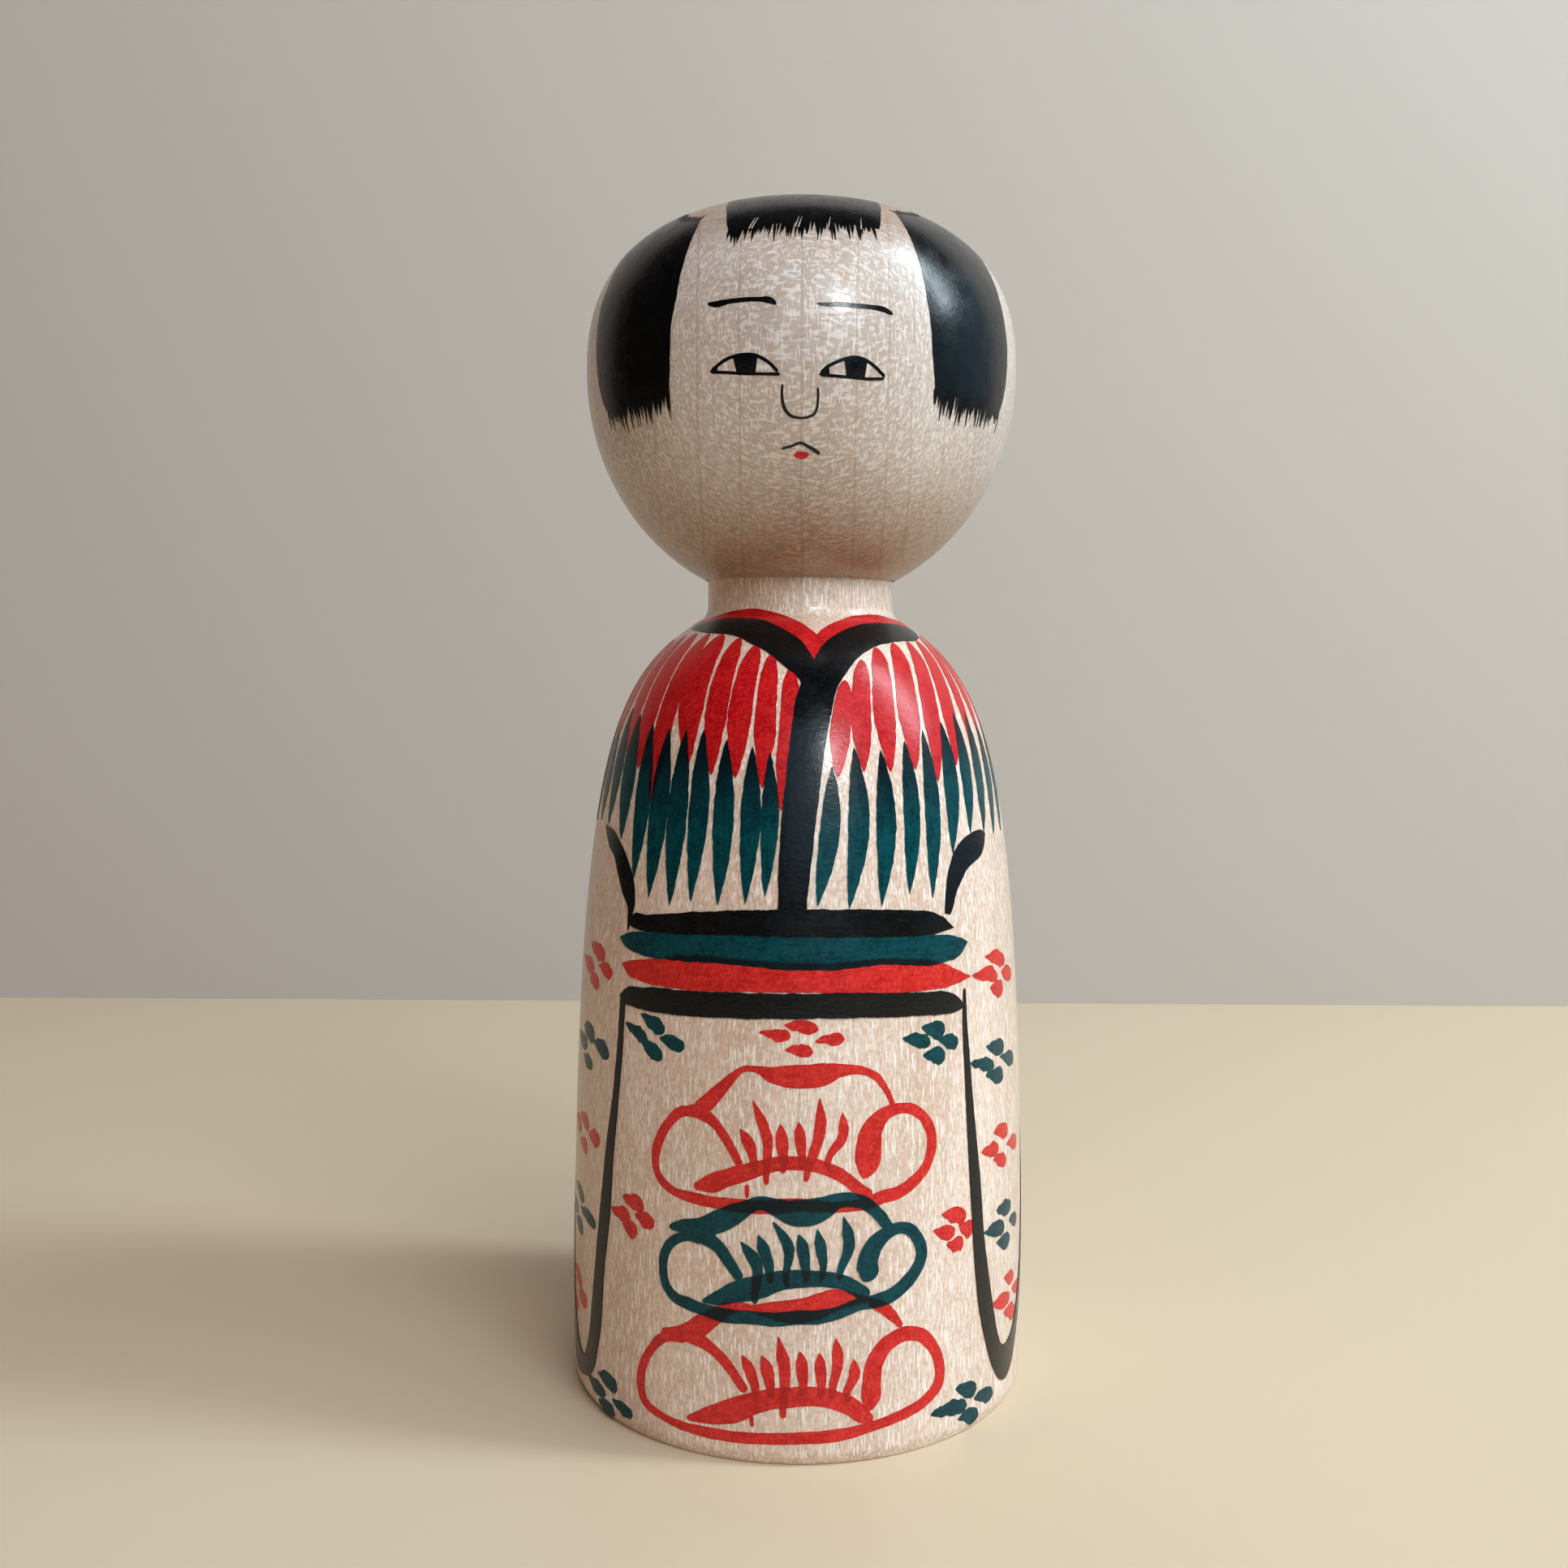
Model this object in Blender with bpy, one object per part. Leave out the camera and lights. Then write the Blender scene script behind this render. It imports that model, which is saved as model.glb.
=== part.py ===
"""Kokeshi doll: a turned body, a turned head and the dowel that joins them.

Metres, +Z up. The origin is the centre of the flat base, the doll's axis is Z
and its face looks along -Y. The dowel is glued in the head and turns in the
body, so the head turns about Z on the top of the neck.
"""
import math

import bmesh
import bpy

# Driving dimensions
HEIGHT = 0.180                # floor to crown, six sun
HEAD_RADIUS = 0.0327
HEAD_WIDEST_Z = 0.155         # height of the head's widest circle
CROWN_POWER = 2.5             # superellipse power: a dome slightly flatter than an ellipse
CHIN_DEPTH = 0.0344           # half height of the ellipse that the cheeks and chin follow
BODY_RADIUS = 0.0355
SHOULDER_PULL_Z = 0.1045      # where the straight side would end if it had no curve
SHOULDER_PULL_RADIUS = 0.0282
SHOULDER_SLOPE_Z = 0.1093
SHOULDER_TOP_Z = 0.1188       # where the shoulder meets the neck's fillet
NECK_RADIUS = 0.0143
NECK_FILLET = 0.0012
BASE_CHAMFER = 0.0009
PEG_RADIUS = 0.0050
PEG_CHAMFER = 0.0008
PEG_IN_HEAD = 0.013
PEG_IN_BODY = 0.016
REGISTER_DEPTH = 0.0012       # how far the neck's top sits inside the head
GAP = 0.0003                  # clearance between touching pieces
SOCKET_END_GAP = 0.0008       # air left at both ends of the dowel

SEGMENTS = 96
PEG_SEGMENTS = 48
SHARP_ANGLE = math.radians(30)

# Heights worked out from the dimensions above
HEAD_RIM_RADIUS = NECK_RADIUS + GAP
HEAD_RIM_Z = HEAD_WIDEST_Z - CHIN_DEPTH * math.sqrt(1 - (HEAD_RIM_RADIUS / HEAD_RADIUS) ** 2)
HEAD_SEAT_Z = HEAD_RIM_Z + REGISTER_DEPTH
NECK_TOP_Z = HEAD_SEAT_Z - GAP
PEG_TOP_Z = HEAD_SEAT_Z + PEG_IN_HEAD
PEG_BOTTOM_Z = NECK_TOP_Z - PEG_IN_BODY
SOCKET_RADIUS = PEG_RADIUS + GAP


def crown_arc(steps):
    """Head outline from the crown's centre out to its widest circle."""
    points = []
    for i in range(steps + 1):
        angle = math.pi / 2 * (1 - i / steps)
        radius = HEAD_RADIUS * max(0.0, math.cos(angle)) ** (2 / CROWN_POWER)
        rise = (HEIGHT - HEAD_WIDEST_Z) * math.sin(angle) ** (2 / CROWN_POWER)
        points.append((radius, HEAD_WIDEST_Z + rise))
    points[0] = (0.0, HEIGHT)
    return points


def cheek_arc(steps):
    """Head outline from its widest circle down to the rim round the neck."""
    last_angle = math.acos(HEAD_RIM_RADIUS / HEAD_RADIUS)
    points = []
    for i in range(1, steps + 1):
        angle = last_angle * i / steps
        points.append((HEAD_RADIUS * math.cos(angle), HEAD_WIDEST_Z - CHIN_DEPTH * math.sin(angle)))
    return points


def shoulder_curve(steps):
    """Body outline from the neck's fillet down to the base's chamfer, one cubic curve."""
    top = (NECK_RADIUS + NECK_FILLET / 3, SHOULDER_TOP_Z)
    handles = ((SHOULDER_PULL_RADIUS, SHOULDER_SLOPE_Z), (BODY_RADIUS, SHOULDER_PULL_Z))
    bottom = (BODY_RADIUS, BASE_CHAMFER)
    points = []
    for i in range(steps + 1):
        t = i / steps
        s = 1 - t
        weights = (s ** 3, 3 * s * s * t, 3 * s * t * t, t ** 3)
        corners = (top, *handles, bottom)
        points.append(tuple(sum(w * c[axis] for w, c in zip(weights, corners)) for axis in (0, 1)))
    return points


def head_outline():
    socket_floor = PEG_TOP_Z + SOCKET_END_GAP
    return crown_arc(14) + cheek_arc(13) + [
        (HEAD_RIM_RADIUS, HEAD_SEAT_Z),
        (SOCKET_RADIUS, HEAD_SEAT_Z),
        (SOCKET_RADIUS, socket_floor),
        (0.0, socket_floor),
    ]


def body_outline():
    socket_floor = PEG_BOTTOM_Z - SOCKET_END_GAP
    return [
        (0.0, socket_floor),
        (SOCKET_RADIUS, socket_floor),
        (SOCKET_RADIUS, NECK_TOP_Z),
        (NECK_RADIUS, NECK_TOP_Z),
        (NECK_RADIUS, SHOULDER_TOP_Z + NECK_FILLET),
    ] + shoulder_curve(24) + [
        (BODY_RADIUS - BASE_CHAMFER, 0.0),
        (0.0, 0.0),
    ]


def peg_outline():
    return [
        (0.0, PEG_TOP_Z),
        (PEG_RADIUS - PEG_CHAMFER, PEG_TOP_Z),
        (PEG_RADIUS, PEG_TOP_Z - PEG_CHAMFER),
        (PEG_RADIUS, PEG_BOTTOM_Z + PEG_CHAMFER),
        (PEG_RADIUS - PEG_CHAMFER, PEG_BOTTOM_Z),
        (0.0, PEG_BOTTOM_Z),
    ]


def turned_piece(name, outline, segments, material):
    """Spin an outline of (radius, height) points round Z into one closed solid."""
    mesh_data = bmesh.new()
    corners = [mesh_data.verts.new((radius, 0.0, height)) for radius, height in outline]
    edges = [mesh_data.edges.new(pair) for pair in zip(corners, corners[1:])]
    bmesh.ops.spin(mesh_data, geom=corners + edges, cent=(0, 0, 0), axis=(0, 0, 1),
                   angle=2 * math.pi, steps=segments, use_merge=True, use_duplicate=False)
    bmesh.ops.remove_doubles(mesh_data, verts=mesh_data.verts, dist=1e-6)
    bmesh.ops.recalc_face_normals(mesh_data, faces=mesh_data.faces)
    mesh = bpy.data.meshes.new(name)
    mesh_data.to_mesh(mesh)
    mesh_data.free()
    mesh.shade_smooth()
    mesh.set_sharp_from_angle(angle=SHARP_ANGLE)
    mesh.materials.append(material)
    piece = bpy.data.objects.new(name, mesh)
    bpy.context.scene.collection.objects.link(piece)
    return piece


def wood_material(name, colour, roughness):
    material = bpy.data.materials.new(name)
    material.use_nodes = True
    shader = material.node_tree.nodes["Principled BSDF"]
    shader.inputs["Base Color"].default_value = (*colour, 1.0)
    shader.inputs["Roughness"].default_value = roughness
    shader.inputs["Metallic"].default_value = 0.0
    return material


def build_doll():
    waxed_wood = wood_material("waxed_wood", (0.60, 0.47, 0.35), 0.35)
    bare_dowel = wood_material("bare_dowel", (0.62, 0.50, 0.36), 0.70)
    turned_piece("body", body_outline(), SEGMENTS, waxed_wood)

    head_pivot = bpy.data.objects.new("head_pivot", None)
    bpy.context.scene.collection.objects.link(head_pivot)
    head = turned_piece("head", head_outline(), SEGMENTS, waxed_wood)
    neck_peg = turned_piece("neck_peg", peg_outline(), PEG_SEGMENTS, bare_dowel)
    head.parent = head_pivot
    neck_peg.parent = head_pivot


for old_object in list(bpy.data.objects):
    bpy.data.objects.remove(old_object, do_unlink=True)
build_doll()
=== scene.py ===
"""Looks of the kokeshi doll: a turned maple body and head with brushed paint.

Every painted mark is a thin closed film on the wood. A mark on the body is
placed by azimuth in degrees (0 is the front, + is the viewer's right) and by
height in millimetres. A mark on the head is placed by azimuth and by elevation
in degrees above the head's widest circle.
"""

import math
import random

import bpy
import numpy as np
from mathutils import Matrix, Vector


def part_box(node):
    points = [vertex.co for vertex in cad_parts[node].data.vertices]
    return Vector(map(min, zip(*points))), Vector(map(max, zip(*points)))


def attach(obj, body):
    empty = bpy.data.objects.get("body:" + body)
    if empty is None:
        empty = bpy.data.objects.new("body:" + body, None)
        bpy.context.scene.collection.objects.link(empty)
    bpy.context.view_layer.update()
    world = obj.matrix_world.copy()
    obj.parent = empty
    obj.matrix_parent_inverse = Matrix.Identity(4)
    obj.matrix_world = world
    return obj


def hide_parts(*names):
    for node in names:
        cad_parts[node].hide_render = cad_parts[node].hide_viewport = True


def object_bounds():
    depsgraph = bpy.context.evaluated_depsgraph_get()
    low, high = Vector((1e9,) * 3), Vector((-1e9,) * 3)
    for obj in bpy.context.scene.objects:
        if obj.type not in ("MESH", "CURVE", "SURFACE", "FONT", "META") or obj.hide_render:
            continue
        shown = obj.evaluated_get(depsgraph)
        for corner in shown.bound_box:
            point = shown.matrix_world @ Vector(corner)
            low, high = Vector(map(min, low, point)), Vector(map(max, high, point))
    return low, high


MM = 0.001
SPACING = 0.32          # distance between the points of a film, in mm
SINK = 0.05             # how far a film's underside lies in the wood, in mm
LIFT = 0.04             # height of the lowest paint layer over the wood, in mm
LAYER = 0.02            # height between two paint layers, in mm
STROKE_STEP = 0.0015    # height between two strokes of one layer, in mm
STROKE_LEVELS = 12      # strokes of one layer before their heights start again
STREAK_SHIFT = 31.7     # shift of the brush streaks from one stroke to the next, in mm
THINNEST = 0.03         # least width of a brush line, in mm
STROKE_COLUMN = 0.4     # width of a film's columns in a brush line, in mm
PATCH_COLUMN = 0.45     # and in a shape between two edges, in mm
OUTLINE_STEP = 0.0006   # distance between the rings of a turned piece, in m
END_GAP = 0.0008        # air left at both ends of the dowel, in m
FIT_GAP = 0.0003        # clearance between two turned pieces, in m
NECK_EDGE = 0.00015     # broken edge at the top of the neck, in m
BASE_EDGE = ((-0.00025, 0.0), (0.00020, 0.00012))   # base's round edge: out and up, in m
TURN_SEGMENTS = 288
SHARP_ANGLE = math.radians(30)
FILM_SHARP_ANGLE = math.radians(50)

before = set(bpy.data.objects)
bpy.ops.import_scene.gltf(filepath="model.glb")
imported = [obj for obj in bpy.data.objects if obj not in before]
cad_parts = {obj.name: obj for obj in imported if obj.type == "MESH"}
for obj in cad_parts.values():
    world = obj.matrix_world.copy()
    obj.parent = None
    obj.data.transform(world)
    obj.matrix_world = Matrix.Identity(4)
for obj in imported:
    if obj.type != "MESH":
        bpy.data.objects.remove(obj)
cad_low, cad_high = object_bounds()
rng = random.Random(7)


# --- turned skins
def rings_of(node):
    """(height, largest radius) of every ring of a turned CAD node, lowest first."""
    rings = {}
    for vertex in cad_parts[node].data.vertices:
        x, y, z = vertex.co
        key = round(z * 100000)
        radius = math.hypot(x, y)
        rings[key] = max(rings.get(key, (radius, z)), (radius, z))
    return [(rings[key][1], rings[key][0]) for key in sorted(rings)]


def widening(rings, more):
    """The rings, in their order, that are wider by more than the last one kept."""
    kept = []
    for height, radius in rings:
        if not kept or radius > kept[-1][1] + more:
            kept.append((height, radius))
    return kept


def body_skin_rings():
    """Outer rings of the body from its base's chamfer up to the top of the neck."""
    return widening(reversed(rings_of("body")), -1e-6)[::-1]


def head_skin_rings():
    """Outer rings of the head from the rim round the neck up to the crown, and the widest one's height."""
    rings = rings_of("head")
    widest = max(range(len(rings)), key=lambda i: rings[i][1])
    lower = widening(rings[:widest + 1], 1e-6)
    upper = widening(reversed(rings[widest + 1:]), 1e-6)
    return lower + upper[::-1], rings[widest][0]


def hermite(knots, values, at):
    """Smooth curve through values at the knots, read at the places in at."""
    gaps = np.diff(knots)
    rates = np.diff(values, axis=0) / gaps[:, None]
    slopes = np.vstack([
        rates[:1],
        (rates[:-1] * gaps[1:, None] + rates[1:] * gaps[:-1, None]) / (gaps[:-1] + gaps[1:])[:, None],
        rates[-1:],
    ])
    left = np.clip(np.searchsorted(knots, at, side="right") - 1, 0, len(gaps) - 1)
    gap = gaps[left][:, None]
    t = ((at - knots[left])[:, None]) / gap
    return (
        values[left] * (2 * t ** 3 - 3 * t ** 2 + 1)
        + values[left + 1] * (3 * t ** 2 - 2 * t ** 3)
        + slopes[left] * gap * (t ** 3 - 2 * t ** 2 + t)
        + slopes[left + 1] * gap * (t ** 3 - t ** 2)
    )


def smooth_outline(rings):
    """Points (radius, height) of a smooth line through rings, about OUTLINE_STEP apart."""
    points = np.array(rings, float)[:, ::-1]
    steps = np.hypot(*np.diff(points, axis=0).T)
    knots = np.concatenate([[0.0], np.cumsum(steps)])
    count = int(knots[-1] / OUTLINE_STEP) + 2
    return hermite(knots, points, np.linspace(0, knots[-1], count))


class Skin:
    """The outside of a turned piece, read by azimuth and by height or elevation."""

    def __init__(self, outline, centre_height=None):
        radius, height = outline[:, 0] / MM, outline[:, 1] / MM
        if centre_height is None:
            place = height
        else:
            place = np.degrees(np.arctan2(height - centre_height / MM, radius))
        self.place, self.radius, self.height = place, radius, height
        self.length = np.concatenate([[0], np.cumsum(np.hypot(np.diff(radius), np.diff(height)))])

    def ring(self, place):
        return np.interp(place, self.place, self.radius), np.interp(place, self.place, self.height)

    def flat(self, marks):
        """Marks (azimuth, place) as mm across and mm up, near enough for distances."""
        radius, _ = self.ring(marks[..., 1])
        up = np.interp(marks[..., 1], self.place, self.length)
        return np.stack([np.radians(marks[..., 0]) * np.maximum(radius, 1.0), up], axis=-1)

    def moved(self, marks, across, up):
        """Marks shifted by millimetres across and up the surface."""
        radius, _ = self.ring(marks[..., 1])
        along = np.interp(marks[..., 1], self.place, self.length) + up
        place = np.interp(along, self.length, self.place)
        azimuth = marks[..., 0] + np.degrees(across / np.maximum(radius, 1.0))
        return np.stack([azimuth, place], axis=-1)

    def points(self, marks, lift):
        """Points in metres, lifted along the surface's normal by lift mm."""
        radius, height = self.ring(marks[..., 1])
        span = max(1e-3, (self.place[-1] - self.place[0]) * 0.002)
        r_above, z_above = self.ring(marks[..., 1] + span)
        r_below, z_below = self.ring(marks[..., 1] - span)
        run, rise = r_above - r_below, z_above - z_below
        size = np.maximum(np.hypot(run, rise), 1e-9)
        radius = radius + rise / size * lift
        height = height - run / size * lift
        angle = np.radians(marks[..., 0])
        return np.stack([radius * np.sin(angle), -radius * np.cos(angle), height], axis=-1) * MM


body_rings = body_skin_rings()
head_rings, head_widest = head_skin_rings()
neck_top, neck_radius = body_rings[-1]
shoulder = smooth_outline(body_rings[:-1])
head_curve = smooth_outline(head_rings)
BODY = Skin(np.vstack([shoulder, [(neck_radius, neck_top)]]))
HEAD = Skin(head_curve, head_widest)


# --- shader nodes
def add(tree, kind, inputs=None, **settings):
    """A new node with its settings; an input given as a socket is linked, any other is set."""
    node = tree.nodes.new(kind)
    for name, value in settings.items():
        setattr(node, name, value)
    for key, value in (inputs or {}).items():
        if isinstance(value, bpy.types.NodeSocket):
            tree.links.new(value, node.inputs[key])
        else:
            node.inputs[key].default_value = value
    return node


def maths(tree, operation, first, second=0.0):
    return add(tree, "ShaderNodeMath", {0: first, 1: second}, operation=operation).outputs[0]


def mapped(tree, value, low, high, to_low=0.0, to_high=1.0):
    node = add(tree, "ShaderNodeMapRange", {0: value, 1: low, 2: high, 3: to_low, 4: to_high},
               interpolation_type="SMOOTHSTEP")
    return node.outputs[0]


def mixed(tree, share, first, second, blend="MIX"):
    """Mix of two colours; a colour is a socket or three linear numbers."""
    node = add(tree, "ShaderNodeMix", data_type="RGBA", blend_type=blend)
    for key, value in ((0, share), (6, first), (7, second)):
        if isinstance(value, bpy.types.NodeSocket):
            tree.links.new(value, node.inputs[key])
        else:
            node.inputs[key].default_value = value if key == 0 else (*value, 1.0)
    return node.outputs[2]


def stretched(tree, vector, cell, shift=(0, 0, 0)):
    """Vector in cells of that size in mm, moved on by shift."""
    node = add(tree, "ShaderNodeVectorMath", {0: vector, 1: tuple(1 / c for c in cell), 2: shift},
               operation="MULTIPLY_ADD")
    return node.outputs[0]


def noise(tree, vector, detail=2.0, rough=0.5, output=0):
    inputs = {"Vector": vector, "Scale": 1.0, "Detail": detail, "Roughness": rough}
    return add(tree, "ShaderNodeTexNoise", inputs).outputs[output]


def blotches(tree, vector, high):
    """Mask of soft patches about one cell large."""
    return mapped(tree, noise(tree, vector, 1.5), 0.50, high)


def laid(tree, colour, mask, share, over):
    """Colour with another one laid over it where the mask is, by share."""
    return mixed(tree, maths(tree, "MULTIPLY", mask, share), colour, over)


def millimetres(tree):
    """Place in the piece, in mm."""
    where = add(tree, "ShaderNodeTexCoord").outputs["Object"]
    return add(tree, "ShaderNodeVectorMath", {0: where, 3: 1000.0}, operation="SCALE").outputs[0]


def picked(tree, vector, low, high):
    """Mask of the cells that are picked at random, soft at the cells' borders."""
    texture = add(tree, "ShaderNodeTexVoronoi", {"Vector": vector, "Scale": 1.0})
    chance = add(tree, "ShaderNodeSeparateColor", {0: texture.outputs["Color"]}).outputs[0]
    chosen = mapped(tree, chance, low, high)
    inside = mapped(tree, texture.outputs["Distance"], 0.75, 0.35)
    return maths(tree, "MULTIPLY", chosen, inside)


def wood_nodes(tree, look):
    """Maple: growth rings across X, ray flecks lying along X, fine vessels along Z.

    The grain runs along Z. The wood is also made darker and warmer where it faces
    up or down: painted shade, meant for the underside of the head, that darkens
    the crown and the base as well.
    """
    mm = millimetres(tree)
    shift = look["shift"]
    drift = noise(tree, stretched(tree, mm, (9, 9, 22), shift), output="Color")
    bent = add(tree, "ShaderNodeVectorMath", {0: drift, 1: look["bend"], 2: mm},
               operation="MULTIPLY_ADD").outputs[0]
    slow = noise(tree, stretched(tree, bent, (14, 14, 60), shift), 3)
    flecks = blotches(tree, stretched(tree, bent, look["fleck"], shift), 0.63)
    pale = blotches(tree, stretched(tree, bent, look["pale"], shift[::-1]), 0.64)
    vessels = picked(tree, stretched(tree, mm, (0.22, 0.22, 2.2), shift), 0.70, 0.82)
    dashes = picked(tree, stretched(tree, mm, (0.26, 0.26, 1.1), shift[::-1]), 0.66, 0.78)
    grit = noise(tree, stretched(tree, mm, (0.55, 0.30, 0.55), shift), 2, 0.7)

    colour = mixed(tree, mapped(tree, slow, 0.32, 0.68), look["deep"], look["light"])
    for mask, share, over in ((flecks, "fleck_share", "tan"), (pale, "pale_share", "white"),
                              (vessels, "vessel_share", "white"), (dashes, "dash_share", "tan")):
        colour = laid(tree, colour, mask, look[share], look[over])
    colour = mixed(tree, mapped(tree, grit, 0.35, 0.7, 0.0, 0.10), colour, look["tan"])
    across = add(tree, "ShaderNodeSeparateXYZ", {0: bent}).outputs[0]
    for place, strength in look["rings"]:
        away = maths(tree, "ABSOLUTE", maths(tree, "SUBTRACT", across, place))
        line = mapped(tree, away, 0.26, 0.03, 0.0, strength)
        colour = mixed(tree, line, colour, look["ring"])
    # painted shade: darker, warmer colour where the normal points up or down, mostly for the head's
    # underside
    normal = add(tree, "ShaderNodeTexCoord").outputs["Normal"]
    steep = maths(tree, "ABSOLUTE", add(tree, "ShaderNodeSeparateXYZ", {0: normal}).outputs[2])
    painted_shade = mapped(tree, steep, 0.35, 0.90, 0.0, look["painted_shade_share"])
    colour = mixed(tree, painted_shade, colour, look["painted_shade"], "MULTIPLY")
    height = maths(tree, "ADD", maths(tree, "MULTIPLY", flecks, 0.5), grit)
    return {"mm": mm, "colour": colour, "flecks": flecks, "grit": grit, "height": height}


def surface(tree, colour, rough, height, depth, coat, coat_rough, ior=1.46):
    """Principled shader with a bump of depth mm over the whole surface."""
    bump = add(tree, "ShaderNodeBump", {"Height": height, "Strength": 1.0, "Distance": depth * MM})
    shader = tree.nodes["Principled BSDF"]
    tree.links.new(colour, shader.inputs["Base Color"])
    tree.links.new(rough, shader.inputs["Roughness"])
    tree.links.new(bump.outputs[0], shader.inputs["Normal"])
    tree.links.new(bump.outputs[0], shader.inputs["Coat Normal"])
    shader.inputs["Coat Weight"].default_value = coat
    shader.inputs["Coat Roughness"].default_value = coat_rough
    shader.inputs["IOR"].default_value = ior


def new_material(name):
    material = bpy.data.materials.new(name)
    material.use_nodes = True
    return material


BODY_WOOD = {
    "shift": (3.1, 7.7, 1.9), "bend": (0.9, 0.8, 0.5),
    "fleck": (1.2, 0.34, 0.60), "pale": (0.38, 0.28, 1.0),
    "deep": (0.62, 0.445, 0.345), "light": (0.75, 0.575, 0.475), "tan": (0.49, 0.315, 0.195),
    "white": (0.90, 0.82, 0.74), "ring": (0.40, 0.26, 0.17),
    "fleck_share": 0.38, "pale_share": 0.45, "vessel_share": 0.95, "dash_share": 0.45,
    # colour and share of the painted shade on up- and down-facing surfaces
    "painted_shade": (0.80, 0.70, 0.60), "painted_shade_share": 0.6,
    "rings": ((-19.5, 0.20), (-14.2, 0.24), (-7.8, 0.20), (0.6, 0.34), (8.0, 0.28), (11.8, 0.24),
              (17.3, 0.24), (21.4, 0.20), (25.8, 0.20), (29.6, 0.16)),
}
HEAD_WOOD = {
    "shift": (11.3, 2.4, 5.6), "bend": (0.9, 0.9, 0.5),
    "fleck": (4.5, 0.32, 0.70), "pale": (1.3, 0.27, 0.60),
    "deep": (0.45, 0.37, 0.32), "light": (0.54, 0.47, 0.425), "tan": (0.46, 0.305, 0.20),
    "white": (0.88, 0.82, 0.77), "ring": (0.36, 0.24, 0.17),
    "fleck_share": 0.52, "pale_share": 0.48, "vessel_share": 0.50, "dash_share": 0.15,
    # colour and share of the painted shade on up- and down-facing surfaces, strongest under the chin
    "painted_shade": (0.60, 0.46, 0.36), "painted_shade_share": 1.0,
    "rings": ((-13.6, 0.45), (-7.9, 0.45), (0.6, 0.50), (7.9, 0.40), (12.2, 0.40), (15.6, 0.35),
              (20.4, 0.35), (-20.0, 0.30), (25.2, 0.30)),
}


def wood_material(name, look):
    material = new_material(name)
    tree = material.node_tree
    wood = wood_nodes(tree, look)
    rough = mapped(tree, wood["grit"], 0.3, 0.7, 0.30, 0.42)
    surface(tree, wood["colour"], rough, wood["height"], 0.016, 0.40, 0.13)
    return material


def paint_material(name, look, paint):
    """Thin dye or ink on the wood: brush streaks, a rim and the wood's flecks show in it."""
    material = new_material(name)
    tree = material.node_tree
    wood = wood_nodes(tree, look)
    along, across, edge, under = (
        add(tree, "ShaderNodeAttribute", attribute_name=name).outputs["Fac"]
        for name in ("along", "across", "edge", "under"))
    brush = add(tree, "ShaderNodeCombineXYZ", {0: along, 1: across}).outputs[0]
    streak = noise(tree, stretched(tree, brush, (7.0, 0.45, 1.0)), 3, 0.6)
    pool = noise(tree, stretched(tree, wood["mm"], (2.4, 2.4, 2.4), (5, 9, 2)), 3, 0.6)
    share = mapped(tree, maths(tree, "ADD", streak, pool), 0.78, 1.22)
    colour = mixed(tree, share, paint["deep"], paint["thin"])
    colour = laid(tree, colour, mapped(tree, wood["grit"], 0.42, 0.75), paint["speck"], paint["bright"])
    colour = laid(tree, colour, wood["flecks"], paint["fleck"], paint["rim"])
    colour = mixed(tree, mapped(tree, edge, 0.28, 0.0, 0.0, paint["rim_share"]), colour, paint["rim"])
    colour = laid(tree, colour, under, paint["under_share"], paint["under"])
    rough = mapped(tree, pool, 0.3, 0.7, paint["rough"] - 0.04, paint["rough"] + 0.05)
    height = maths(tree, "ADD", wood["height"], maths(tree, "MULTIPLY", streak, 0.6))
    surface(tree, colour, rough, height, 0.012, paint["coat"], 0.18, paint["ior"])
    return material


BLACK = {
    "deep": (0.0011, 0.0013, 0.0016), "thin": (0.0022, 0.0028, 0.0036), "bright": (0.0060, 0.0085, 0.011),
    "rim": (0.0008, 0.0010, 0.0012), "under": (0.002, 0.002, 0.002), "speck": 0.45, "fleck": 0.2,
    "rim_share": 0.3, "under_share": 0.0, "rough": 0.24, "coat": 0.05, "ior": 1.38,
}
RED = {
    "deep": (0.38, 0.0018, 0.0036), "thin": (0.50, 0.0060, 0.0085), "bright": (0.68, 0.040, 0.042),
    "rim": (0.28, 0.002, 0.003), "under": (0.24, 0.001, 0.002), "speck": 0.55, "fleck": 0.25,
    "rim_share": 0.25, "under_share": 0.60, "rough": 0.30, "coat": 0.16, "ior": 1.32,
}
THIN_RED = {
    **RED, "deep": (0.46, 0.0055, 0.0058), "thin": (0.60, 0.0170, 0.0140), "bright": (0.78, 0.072, 0.052),
    "rim": (0.36, 0.004, 0.005), "under": (0.30, 0.003, 0.004),
}
TEAL = {
    "deep": (0.0003, 0.022, 0.030), "thin": (0.0005, 0.046, 0.056), "bright": (0.002, 0.090, 0.100),
    "rim": (0.0008, 0.066, 0.072), "under": (0.0022, 0.0050, 0.0075), "speck": 0.45, "fleck": 0.25,
    "rim_share": 0.35, "under_share": 0.93, "rough": 0.28, "coat": 0.05, "ior": 1.28,
}

wood_body = wood_material("maple_body", BODY_WOOD)
wood_head = wood_material("maple_head", HEAD_WOOD)
PAINTS = {
    "black_ink": paint_material("ink_black", BODY_WOOD, BLACK),
    "red_dye": paint_material("dye_red", BODY_WOOD, RED),
    "teal_dye": paint_material("dye_teal", BODY_WOOD, TEAL),
    "waxed_wood": wood_head,
}
thin_red = paint_material("dye_red_thin", BODY_WOOD, THIN_RED)


# --- turned pieces
def mesh_object(name, points, faces, material):
    mesh = bpy.data.meshes.new(name)
    mesh.from_pydata([tuple(p) for p in points], [], faces)
    mesh.materials.append(material)
    mesh.shade_smooth()
    piece = bpy.data.objects.new(name, mesh)
    bpy.context.scene.collection.objects.link(piece)
    return piece


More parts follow.
